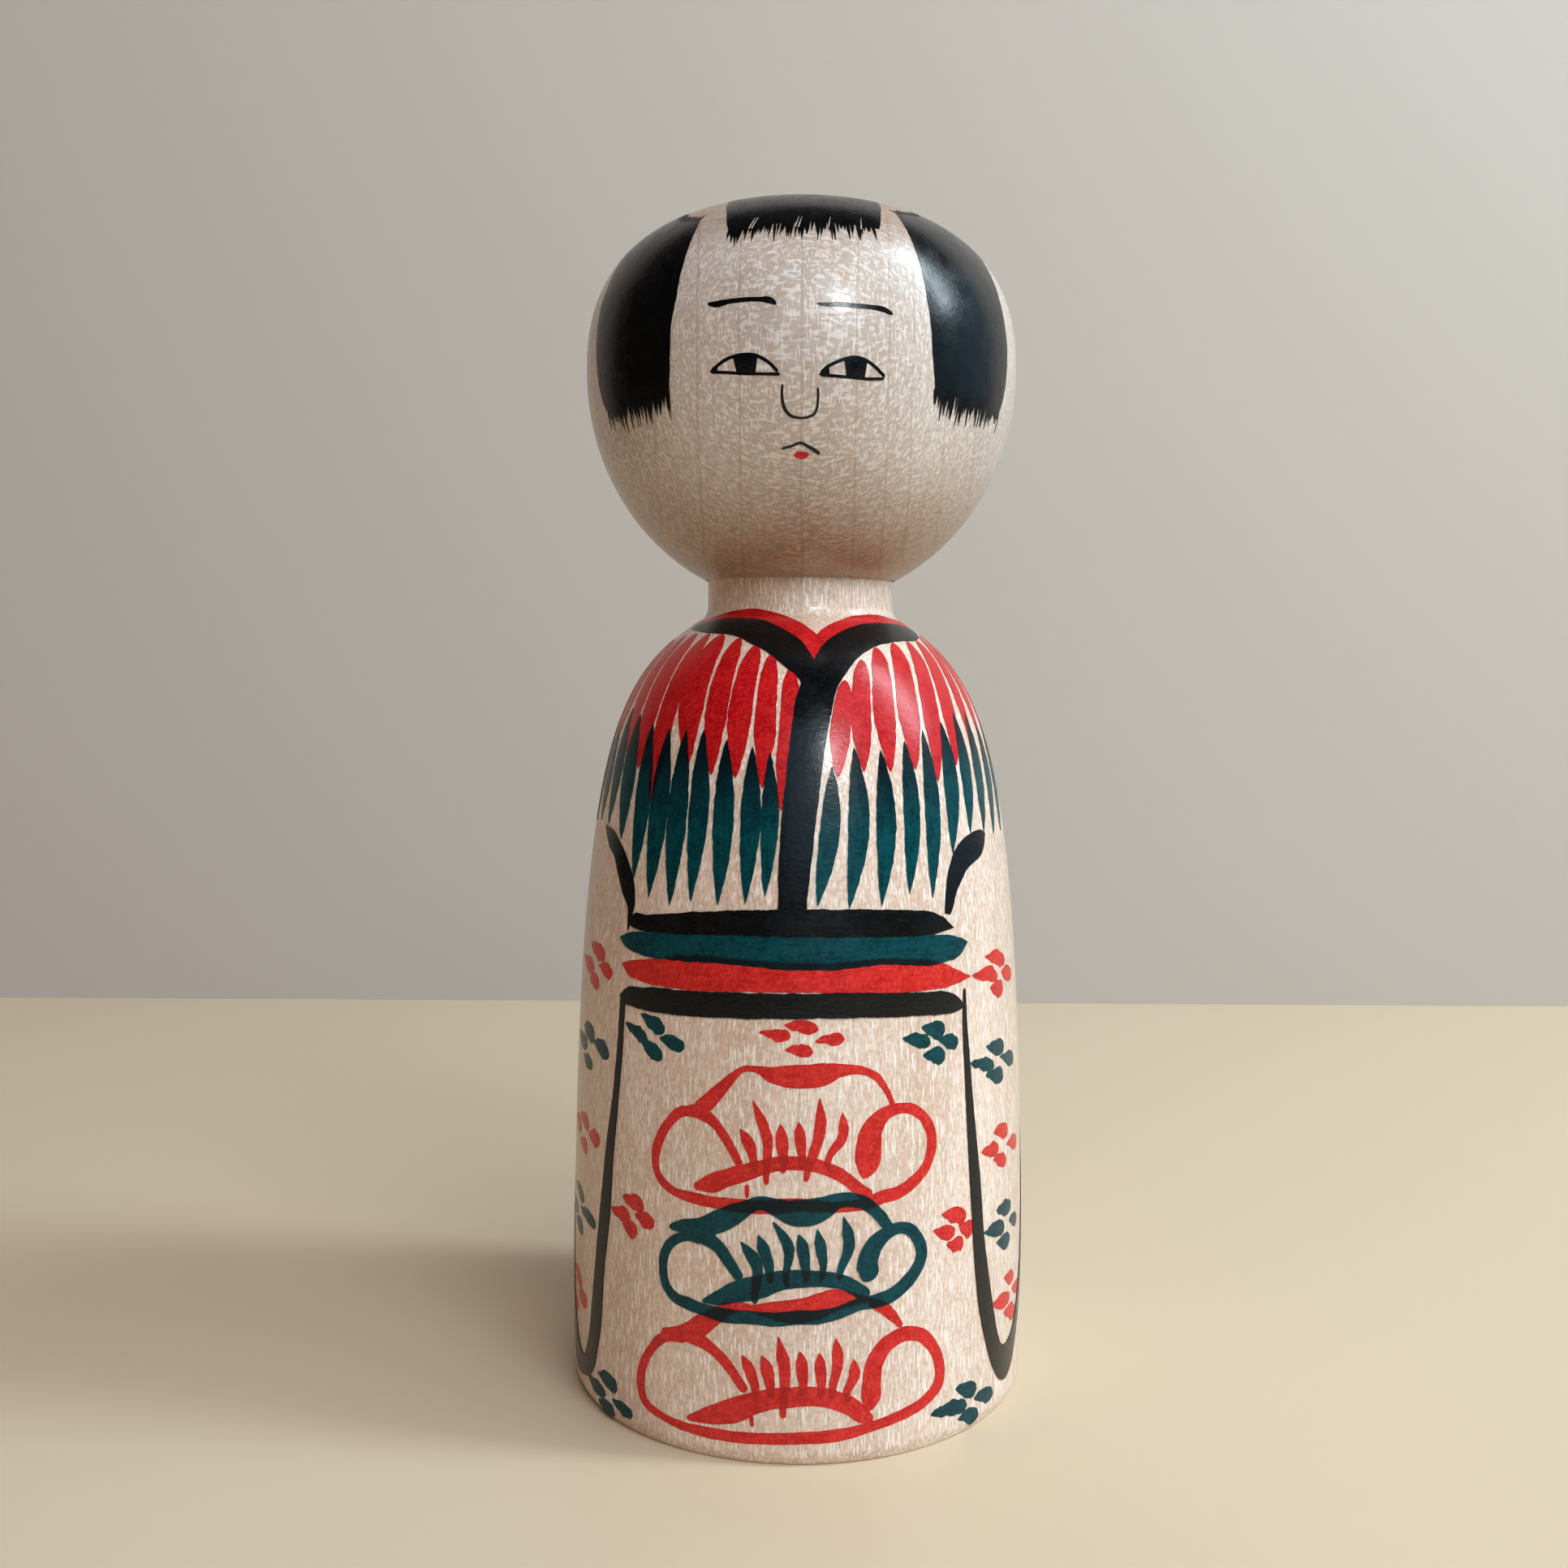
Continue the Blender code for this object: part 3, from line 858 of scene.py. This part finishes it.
TOP_STAMENS = [
    [(-9.8, 43), (-11, 45.6), (-13.3, 47.7)], [(-7, 41.3), (-7, 46.5), (-10.3, 51.8)],
    [(-3.2, 43), (-4, 48.7)], [(1, 43.5), (0.2, 49)], [(2.2, 41.9), (5, 47.5), (5, 52.3)],
    [(6.8, 43.3), (10.3, 47), (10.2, 50.2)],
]
TOP_DRIPS = [[(-11.5, 40, 0.7), (-11.5, 38, 0.5)]]
MIDDLE_PLUM = [
    [(-30.8, 32.4, 0.7), (-27, 32.9, 1.9), (-22, 33.3, 2.7), (-18, 34.4, 3.2), (-14, 35.8, 2.8),
     (-11, 36.9, 2), (-8.5, 37.5, 1.9), (-5, 37, 2.4), (-1, 36.3, 3.6), (3, 36.4, 3.8), (6, 37, 3.2),
     (9, 37.8, 2.2), (12, 37.9, 2), (15, 37.4, 1.8), (17.5, 36.3, 1.7), (20, 34.5, 1.6), (21.8, 33, 1.2)],
    [(-22, 31.4, 1.5), (-26, 31.6, 1.3), (-29.5, 30.6, 1.5), (-32, 28.4, 1.5), (-32.4, 26, 1.4),
     (-31.5, 23.8, 1.5), (-29, 22.4, 1.5), (-26, 22, 1.8), (-22, 21.5, 1.7), (-18, 21.2, 2),
     (-10, 21.2, 1.8), (-5, 21.2, 2), (0, 21.5, 2), (5, 21.6, 2), (10, 22.2, 1.8), (14, 23, 1.8),
     (19, 23.3, 2), (22, 23.8, 2), (25, 24.9, 2), (28, 26.6, 1.9), (29.7, 28.8, 1.8), (28.8, 31, 1.8),
     (27, 32.5, 1.7), (24, 33.2, 1.6), (20.5, 32.6, 2), (17.5, 31, 2.6), (16.2, 29, 3), (16, 27.3, 3),
     (15, 26.2, 1.5)],
    [(-25, 32.3, 1.2), (-23, 32, 2.0), (-20.5, 31.6, 2.1), (-18, 30.7, 1.8), (-16, 29.2, 1.7),
     (-14, 27.5, 1.5), (-12.8, 26.4, 1.3)],
    [(-22, 22.7, 0.5), (-18, 23.5, 2), (-14, 24.6, 2.9), (-11, 25.2, 3.3), (-8, 25.8, 3.2), (-4, 26.7, 2.8),
     (0, 27, 2.5), (4, 27, 2.3), (8, 26.7, 2.1), (11, 26.2, 2), (14, 25, 2), (16.5, 24, 2)],
]
MIDDLE_STAMENS = [
    [(-9.5, 24.5), (-9, 28.5), (-12.8, 31.9)], [(-6, 27.5), (-7.2, 30.4), (-8.8, 33)],
    [(-2.5, 27), (-2, 31.5), (-5.5, 35)], [(2, 27.8), (1.4, 30.8), (0.3, 33.3)],
    [(5.8, 28), (5.4, 31), (4.5, 34)], [(9.8, 28), (11.7, 31.5), (10.5, 35.6)],
]
BOTTOM_PLUM = [
    [(-33, 16.8, 1.2), (-29, 17.3, 1.8), (-25, 18, 2.8), (-22, 19.3, 3), (-19, 20.7, 2.4), (-16, 22, 2),
     (-13, 22.6, 1.2), (-10, 22.6, 1)],
    [(16, 23.5, 1.2), (19.5, 22.3, 1.7), (22, 20.9, 1.5), (23.5, 19.8, 1), (24.5, 18.9, 0.8)],
    [(-26, 16.9, 1.6), (-32, 16.2, 1.5), (-36, 13.7, 1.4), (-38.5, 11, 1.5), (-39.3, 8, 1.6),
     (-38, 5.8, 1.4), (-34, 4.7, 1.2), (-28, 4, 1.3), (-20, 3.8, 1.6), (-10, 3.9, 1.6), (0, 4.2, 1.7),
     (10, 4.5, 1.8), (18, 5.3, 1.5), (25, 6.2, 1.6), (31, 7.4, 1.7), (34.6, 9.3, 1.9), (35, 12, 1.8),
     (33, 15, 1.8), (29.5, 17.2, 2), (25, 17.8, 2.2), (20.5, 16.7, 2.3), (18, 14.5, 2.6),
     (17.2, 11.5, 2.8), (17, 9.3, 2.8), (16.5, 7.5, 1)],
    [(-28, 17, 1.2), (-25, 17.2, 1.9), (-22, 16.8, 1.9), (-19, 15.8, 1.6), (-16, 14.2, 1.5),
     (-13.5, 12.2, 1.4), (-11.5, 10.4, 1.2)],
    [(-26, 5.2, 0.6), (-22, 6, 2), (-18, 6.8, 3), (-14, 7.7, 3.6), (-10, 8.9, 3.2), (-6, 9.7, 3),
     (-1, 10.1, 2.9), (4, 10.2, 2.8), (8, 9.7, 2.7), (12, 8.6, 2.6), (15, 7, 2.2), (17.5, 6, 1.4)],
]
BOTTOM_FILL = patch(
    BODY,
    [(-11, 22.9), (-6, 23.6), (-2, 24), (2, 24.4), (5, 25), (8, 25.4), (11, 25.2), (14, 24.5), (16.5, 24)],
    [(-11, 22.2), (-6, 21.3), (-2, 20.7), (2, 20.8), (6, 21.5), (10, 22.5), (14, 23), (16.5, 23.2)])
BOTTOM_STAMENS = [
    [(-9.3, 10.5), (-10.4, 13.4), (-12.5, 15.8)], [(-5.8, 11), (-6.6, 13.8), (-8, 16)],
    [(-3, 8.3), (-2.7, 14), (-4.2, 18.8)], [(1.5, 11.5), (1.2, 14.2), (0.7, 16.7)],
    [(5.5, 11.3), (5.4, 14), (5, 16.5)], [(8, 11), (9.2, 15), (8.8, 18.5)],
    [(11.3, 10.4), (13, 12.8), (13, 15.3)],
]
BOTTOM_DRIPS = [[(-10.3, 7.2, 0.7), (-10, 5.5, 0.5)]]

STAMEN_ROOT = 1.3       # how far a stamen starts down in the arc that it grows from, in mm


def brushed(lines):
    """Brush strokes on the body."""
    return [stroke(BODY, line) for line in lines]


def stamens(lines):
    """Fine strokes that grow out of an arc."""
    made = []
    for line in lines:
        root = (line[0][0] + rng.uniform(-0.6, 0.6), line[0][1] - STAMEN_ROOT)
        made.append(stroke(BODY, [root, *line], stamen, rng.uniform(1.35, 1.75), caps=True, rough=0.07))
    return made


top_plum = brushed(TOP_PLUM + TOP_DRIPS)
bottom_plum = [BOTTOM_FILL] + brushed(BOTTOM_PLUM + BOTTOM_DRIPS)
middle_plum = brushed(MIDDLE_PLUM)


def shapes_of(strokes):
    """Outlines of the strokes, to tell what lies over them."""
    return [border(grid) for grid, _, _ in strokes]


red_plums = shapes_of(top_plum + bottom_plum)
red_shapes = shapes_of(red_petals)

film("paint_collar_red", "body", red_collar, 0, "red_dye")
film("paint_petals_red", "body", red_petals, 1, "red_dye")
film("paint_petals_teal", "body", teal_petals, 2, "teal_dye", red_shapes, fade=0.45)
film("paint_collar_black", "body", black_collar, 3, "black_ink")
film("paint_band_black", "body", front_band, 4, "black_ink")
film("paint_arm_left", "body", left_arm, 3, "black_ink")
film("paint_arm_right", "body", right_arm, 3, "black_ink")
belts = [patch(BODY, upper, lower, 0.08) for _, _, upper, lower in BELTS]
for number, (slot, layer, _, _) in enumerate(BELTS):
    over = [border(belts[2][0])] if slot == "teal_dye" else ()
    material = thin_red if slot == "red_dye" else None
    film(f"paint_belt_{number + 1}", "body", [belts[number]], layer, slot, over, material=material)
film("paint_sleeve_left", "body", left_sleeve, 5, "black_ink")
film("paint_sleeve_right", "body", right_sleeve, 5, "black_ink")
film("paint_sprigs_red", "body", [dab(*row) for row in RED_SPRIGS], 0, "red_dye", material=thin_red)
film("paint_sprigs_teal", "body", [dab(*row) for row in TEAL_SPRIGS], 0, "teal_dye")
film("paint_plum_top", "body", top_plum, 0, "red_dye", material=thin_red)
film("paint_plum_bottom", "body", bottom_plum, 0, "red_dye", material=thin_red)
film("paint_plum_middle", "body", middle_plum, 4, "teal_dye", red_plums)
for label, lines, shapes, layer, slot, material in (
        ("top", TOP_STAMENS, top_plum, 1, "red_dye", thin_red),
        ("bottom", BOTTOM_STAMENS, bottom_plum, 1, "red_dye", thin_red),
        ("middle", MIDDLE_STAMENS, middle_plum, 5, "teal_dye", None)):
    film(f"paint_stamens_{label}", "body", stamens(lines), layer, slot, shapes_of(shapes), material=material)


# --- the face
def thin(line, width):
    """A brush line of one width through marks."""
    return [(a, e, width) for a, e in line]


brow_left = [(-23, 8.7, 0.35), (-21.5, 8.4, 0.75), (-17, 8.8, 0.68), (-13, 9, 0.60), (-10, 8.9, 0.62),
             (-7.5, 8.6, 0.85), (-5.8, 7.6, 0.45)]
brow_right = [(3.5, 7.8, 0.25), (6, 7.6, 0.52), (10, 7.7, 0.62), (14, 7.5, 0.60), (17, 7.4, 0.62),
              (20, 7, 0.75), (22.2, 6.1, 0.45)]
eye_left = [
    stroke(HEAD, thin([(-22, -7), (-20, -5.7), (-18, -4.6), (-15.5, -3.9), (-13, -3.7), (-11, -3.9),
                       (-9, -4.8), (-7, -6.2), (-5.4, -8)], 0.45), rough=0.03),
    stroke(HEAD, thin([(-22.2, -7.3), (-18, -7.6), (-14, -8), (-10, -8.2), (-4.8, -8.4)], 0.42), rough=0.03),
    patch(HEAD, [(-22.3, -7.1), (-20.3, -5.9)], [(-22.3, -7.3), (-20.3, -7.4)], 0.0),
    patch(HEAD, [(-16.3, -4.2), (-13.2, -3.8), (-10.3, -4.1)],
          [(-15.4, -8), (-13.2, -8.1), (-10.9, -8.2)], 0.02),
]
eye_right = [
    stroke(HEAD, thin([(4.5, -8.2), (6, -6.8), (8, -5.7), (10, -4.9), (13, -4.3), (15, -4.7), (17, -5.7),
                       (19, -7.2), (20.5, -8.5)], 0.45), rough=0.03),
    stroke(HEAD, thin([(4.3, -8.5), (8, -8.7), (12, -8.9), (16, -9.1), (20.4, -8.8)], 0.42), rough=0.03),
    patch(HEAD, [(4.2, -8.3), (6.6, -6.6)], [(4.2, -8.6), (6.8, -8.7)], 0.0),
    patch(HEAD, [(10.2, -5), (13, -4.5), (15.8, -5.1)], [(10.8, -8.9), (13, -9), (15.3, -9)], 0.02),
]
nose = [(-4.4, -10.5, 0.34), (-4.6, -13, 0.38), (-4.4, -15, 0.46), (-3.7, -16.7, 0.48), (-2.5, -17.9, 0.42),
        (-1, -18.3, 0.35), (0.5, -18.4, 0.33), (2, -18.1, 0.34), (3.2, -17.5, 0.36), (3.9, -16, 0.35),
        (4.1, -14, 0.34), (4, -11.2, 0.30)]
mouth = [(-5.2, -25.6, 0.32), (-2.5, -25.0, 0.34), (0, -24.2, 0.38), (2, -25.1, 0.42), (4, -26.2, 0.52),
         (5.2, -27, 0.42)]
lip = [(-1.8, -26.9, 0.7), (-0.6, -27.2, 1.0), (0.8, -27.2, 1.0), (2.2, -26.9, 0.7)]

film("paint_brows", "head", [stroke(HEAD, brow_left, rough=0.03), stroke(HEAD, brow_right, rough=0.03)],
     0, "black_ink")
film("paint_eye_left", "head", eye_left, 0, "black_ink")
film("paint_eye_right", "head", eye_right, 0, "black_ink")
film("paint_nose", "head", [stroke(HEAD, nose, rough=0.02)], 0, "black_ink")
film("paint_mouth", "head", [stroke(HEAD, mouth, rough=0.02)], 1, "black_ink")
film("paint_lip", "head", [stroke(HEAD, lip, rough=0.08)], 0, "red_dye")


# --- the hair
TOOTH_ROOT = 0.6                    # how far a brush tooth starts inside the hair, in mm
CROWN_HALF_WIDTH = 10.5             # half the width of the strip over the crown, in mm
CROWN_SHIFT = 0.25                  # how far the strip is off centre, in mm
CROWN_FRONT = (29.9, 31.1)          # tilt of its front edge at the left and right end, in degrees
CROWN_BACK = 151.0                  # tilt of its back edge, in degrees
CROWN_COLUMNS, CROWN_ROWS = 49, 150


def spike(mark, lean, root, reach, width):
    """Tapered bristle mark through a place on the head, along lean, from root mm behind to reach mm on."""
    start, middle, end = (HEAD.moved(mark, lean[0] * d, lean[1] * d) for d in (-root, reach * 0.35, reach))
    line = [(*start, width), (*middle, width * 0.75), (*end, 0.04)]
    return stroke(HEAD, line, caps=False, rough=0.01, columns=3)


def bristles(edge, toward, reach, width=0.56, pitch=0.42):
    """Teeth that a brush's end leaves along an edge, wide at the root, out along toward."""
    line, at = flowing(HEAD, edge, 0.2)
    direction = np.array(toward, float)
    direction /= np.hypot(*direction)
    teeth = []
    place = 0.0
    while place < at[-1]:
        mark = np.array([np.interp(place, at, line[:, 0]), np.interp(place, at, line[:, 1])])
        lean = direction + np.array([rng.uniform(-0.09, 0.09), rng.uniform(-0.09, 0.09)])
        teeth.append(spike(mark, lean, TOOTH_ROOT, rng.uniform(*reach), width * rng.uniform(0.7, 1.2)))
        place += pitch * rng.uniform(0.6, 1.4)
    return teeth


def crown_mark(x, tilt):
    """Mark on the head at x mm to the side, on the plane tilted back by tilt degrees from the front."""
    direction = math.radians(tilt)
    low, high = 0.0, 60.0
    for _ in range(30):
        reach = (low + high) / 2
        y, z = -reach * math.cos(direction), reach * math.sin(direction)
        radius, elevation = math.hypot(x, y), math.degrees(math.atan2(z, math.hypot(x, y)))
        ring_radius, ring_height = HEAD.ring(elevation)
        if math.hypot(radius, z) < math.hypot(ring_radius, ring_height - head_widest / MM):
            low = reach
        else:
            high = reach
    return np.array([x, y, z + head_widest / MM])


def crown_film(name, slot):
    """The strip of hair over the crown. It crosses the pole, so it is built in its own grid."""
    grid = np.zeros((CROWN_ROWS, CROWN_COLUMNS, 3))
    for j, share in enumerate(np.linspace(0, 1, CROWN_COLUMNS)):
        front = CROWN_FRONT[0] * (1 - share) + CROWN_FRONT[1] * share
        for i, tilt in enumerate(np.linspace(front, CROWN_BACK, CROWN_ROWS)):
            half = CROWN_HALF_WIDTH * np.interp(tilt, (28, 33, 45, 60, 150), (0.95, 1.0, 1.03, 0.99, 0.95))
            grid[i, j] = crown_mark((share * 2 - 1) * half + CROWN_SHIFT, tilt)
    outward = grid - np.array([0, 0, head_widest / MM])
    outward /= np.linalg.norm(outward, axis=2)[..., None]
    points = np.concatenate([(grid + outward * LIFT).reshape(-1, 3),
    (grid - outward * SINK).reshape(-1, 3)])
    steps = np.linalg.norm(np.diff(grid[:, CROWN_COLUMNS // 2], axis=0), axis=1)
    along = np.repeat(np.concatenate([[0], np.cumsum(steps)])[:, None], CROWN_COLUMNS, axis=1)
    across = np.linspace(-CROWN_HALF_WIDTH, CROWN_HALF_WIDTH, CROWN_COLUMNS)
    across = np.repeat(across[None], CROWN_ROWS, axis=0)
    values = {"along": along, "across": across, "edge": CROWN_HALF_WIDTH - abs(across)}
    values = {key: np.tile(value.ravel(), 2) for key, value in values.items()}
    faces = sheet_faces(CROWN_ROWS, CROWN_COLUMNS, 0, False)
    painted(name, "head", slot, points * MM, faces, values)


crown_film("paint_hair_crown", "black_ink")
FRINGE_EDGE = [(-20.3, 29.5), (-12, 29.8), (-6, 30.0), (0, 30.1), (6, 30.3), (12, 30.4), (20.9, 30.5)]
NAPE_EDGE = [(162, 29.0), (170, 29.2), (180, 29.4), (190, 29.2), (198, 29.0)]
fringe = bristles(FRINGE_EDGE, (-0.05, -1), (1.3, 3.4))
fringe += bristles([(-19.3, 29.6), (-17.6, 29.6)], (0.15, -1), (3.0, 3.9), 0.7)
fringe += bristles(NAPE_EDGE, (0, -1), (1.3, 3.4))
film("paint_hair_fringe", "head", fringe, 1, "black_ink")
FRINGE_SLITS = (-14.5, -13.7, -1.7, -0.8, 7.4, 16.6)
slits = [spike(np.array([azimuth, 29.0]), (0.2, 1), 0.3, 2.2, 0.2) for azimuth in FRINGE_SLITS]
film("paint_hair_fringe_slits", "head", slits, 2, "waxed_wood")

LEFT_INNER = [(-34.5, -11.6), (-33.8, -8), (-33.3, -2), (-33, 4), (-32, 10), (-31.6, 16), (-31.4, 22),
              (-31.7, 28), (-32.3, 32), (-33.5, 36)]
LEFT_OUTER = [(-61.2, -12.6), (-62.5, -11.0), (-64, -7), (-65, -2), (-65.8, 8), (-65.8, 14), (-65.3, 20),
              (-66, 25), (-68, 31), (-70, 43)]
LEFT_TOP = [(-33.5, 36), (-38, 36.8), (-42, 37.8), (-47, 40.6), (-52, 43.6), (-60, 47.2), (-70, 51.2),
            (-80, 54.4), (-90, 55.6), (-100, 55), (-106, 52)]
LEFT_BACK = [(-36, 24), (-50, 24), (-60, 24), (-66, 25.2), (-69, 28), (-75, 29.5), (-82, 28.5), (-90, 25),
             (-98, 22), (-104, 22), (-108, 25)]
RIGHT_INNER = [(34.8, -11.2), (34.3, -8), (33.3, -2), (32.8, 4), (32, 10), (31.5, 18), (31.3, 26),
               (31.6, 31), (32.3, 36), (33.5, 39.5)]
RIGHT_OUTER = [(64.1, -11.6), (65, -8.6), (65.8, -3), (66, 3), (65.3, 10), (65, 17), (65.5, 22), (67, 27),
               (69, 34), (71, 46)]
RIGHT_TOP = [(33.5, 39.5), (37, 40.6), (41, 40.8), (46, 42.6), (55, 47.6), (60, 50.8), (65, 55.2), (75, 57),
             (90, 56.6), (100, 55), (106, 52)]
RIGHT_BACK = [(36, 26), (50, 26), (60, 26), (67, 27.2), (71, 29.8), (76, 30.5), (82, 29), (90, 25.6),
              (98, 22.6), (104, 22.4), (108, 25)]


def hair_side(inner, outer, top, back):
    """A side lock: a block down the cheek and a part swept back at the top, with brush ends."""
    side = -1 if inner[0][0] < 0 else 1
    shapes = [patch(HEAD, inner, outer, 0.05), patch(HEAD, top, back, 0.05)]
    bottom = [inner[0], ((inner[0][0] + outer[0][0]) / 2, inner[0][1] - 0.6), outer[0]]
    rear = [top[-1], ((top[-1][0] + back[-1][0]) / 2 + side, 38), back[-1]]
    ends = bristles(bottom, (0.03 * side, -1), (1.3, 3.8))
    ends += bristles(rear, (side, 0.05), (0.8, 2.6))
    ends += bristles(top[:5], (-0.6 * side, 0.8), (0.3, 1.1), 0.3, 0.5)
    return shapes, ends


for label, parts in (("left", (LEFT_INNER, LEFT_OUTER, LEFT_TOP, LEFT_BACK)),
                     ("right", (RIGHT_INNER, RIGHT_OUTER, RIGHT_TOP, RIGHT_BACK))):
    shapes, ends = hair_side(*parts)
    film(f"paint_hair_{label}", "head", shapes, 0, "black_ink")
    film(f"paint_hair_{label}_ends", "head", ends, 1, "black_ink")


# --- studio
def plain_material(name, colour, rough):
    material = new_material(name)
    shader = material.node_tree.nodes["Principled BSDF"]
    shader.inputs["Base Color"].default_value = (*colour, 1.0)
    shader.inputs["Roughness"].default_value = rough
    return material


def plane(name, corners, material):
    piece = mesh_object(name, corners, [tuple(range(len(corners)))], material)
    return piece


WALL_Y = 0.26
plane("floor", [(-0.8, -0.9, 0), (0.8, -0.9, 0), (0.8, WALL_Y, 0), (-0.8, WALL_Y, 0)],
      plain_material("floor_plain", (0.61, 0.48, 0.33), 0.5))
plane("backdrop", [(-0.55, WALL_Y, 0), (0.55, WALL_Y, 0), (0.55, WALL_Y, 0.6), (-0.55, WALL_Y, 0.6)],
      plain_material("backdrop_plain", (0.47, 0.42, 0.37), 0.8))

target = Vector((0.0, 0.0, (cad_low.z + cad_high.z) * 0.6))


def area_light(name, azimuth, elevation, distance, width, height, power, colour, lights="both"):
    """Soft light at an azimuth from the front and an elevation, turned to the doll.

    lights is "both", "diffuse" for one that isn't mirrored, or "mirrored" for one
    that is only seen as a highlight.
    """
    a, e = math.radians(azimuth), math.radians(elevation)
    offset = Vector((math.sin(a) * math.cos(e), -math.cos(a) * math.cos(e), math.sin(e))) * distance
    light = bpy.data.lights.new(name, "AREA")
    light.shape = "RECTANGLE"
    light.size, light.size_y = width, height
    light.energy = power
    light.color = colour
    lamp = bpy.data.objects.new(name, light)
    lamp.location = target + offset
    lamp.rotation_euler = (-offset).to_track_quat("-Z", "Y").to_euler()
    lamp.visible_glossy = lights != "diffuse"
    lamp.visible_diffuse = lights != "mirrored"
    bpy.context.scene.collection.objects.link(lamp)


area_light("light_window", 82, 42, 0.95, 0.14, 0.60, 5.8, (0.76, 0.91, 1.0))
area_light("light_front", 21, 27, 0.95, 0.13, 0.16, 2.6, (0.90, 0.96, 1.0), "mirrored")
area_light("light_sheen", 92, 20, 1.10, 0.9, 0.9, 1.5, (0.42, 0.75, 1.0), "mirrored")
area_light("light_band", 12, 22, 1.50, 1.1, 0.9, 3.6, (0.48, 0.76, 1.0), "mirrored")
area_light("light_right", 60, 42, 1.20, 1.20, 1.00, 13.6, (0.69, 0.86, 1.0), "diffuse")
area_light("light_high", 20, 41, 1.30, 0.90, 0.50, 9.6, (0.97, 0.97, 1.0), "diffuse")
area_light("light_fill", -70, 8, 1.30, 1.10, 1.00, 1.4, (1.0, 0.42, 0.13), "diffuse")

world = bpy.data.worlds.new("studio_world")
world.use_nodes = True
background = world.node_tree.nodes["Background"]
background.inputs["Color"].default_value = (1.0, 0.72, 0.50, 1.0)
background.inputs["Strength"].default_value = 0.03
scene = bpy.context.scene
scene.world = world
scene.view_settings.view_transform = "Standard"

CAMERA_PITCH, CAMERA_YAW, CAMERA_ROLL = 4.66, 0.56, 0.21
camera_data = bpy.data.cameras.new("camera")
camera_data.sensor_width = 36.0
camera_data.lens = 36.08
camera = bpy.data.objects.new("camera", camera_data)
turn = Matrix.Rotation(math.radians(CAMERA_YAW), 4, "Z")
turn = turn @ Matrix.Rotation(math.radians(90 - CAMERA_PITCH), 4, "X")
turn = turn @ Matrix.Rotation(math.radians(CAMERA_ROLL), 4, "Z")
camera.matrix_world = Matrix.Translation((0.0, -0.246, 0.1127)) @ turn
scene.collection.objects.link(camera)
scene.camera = camera
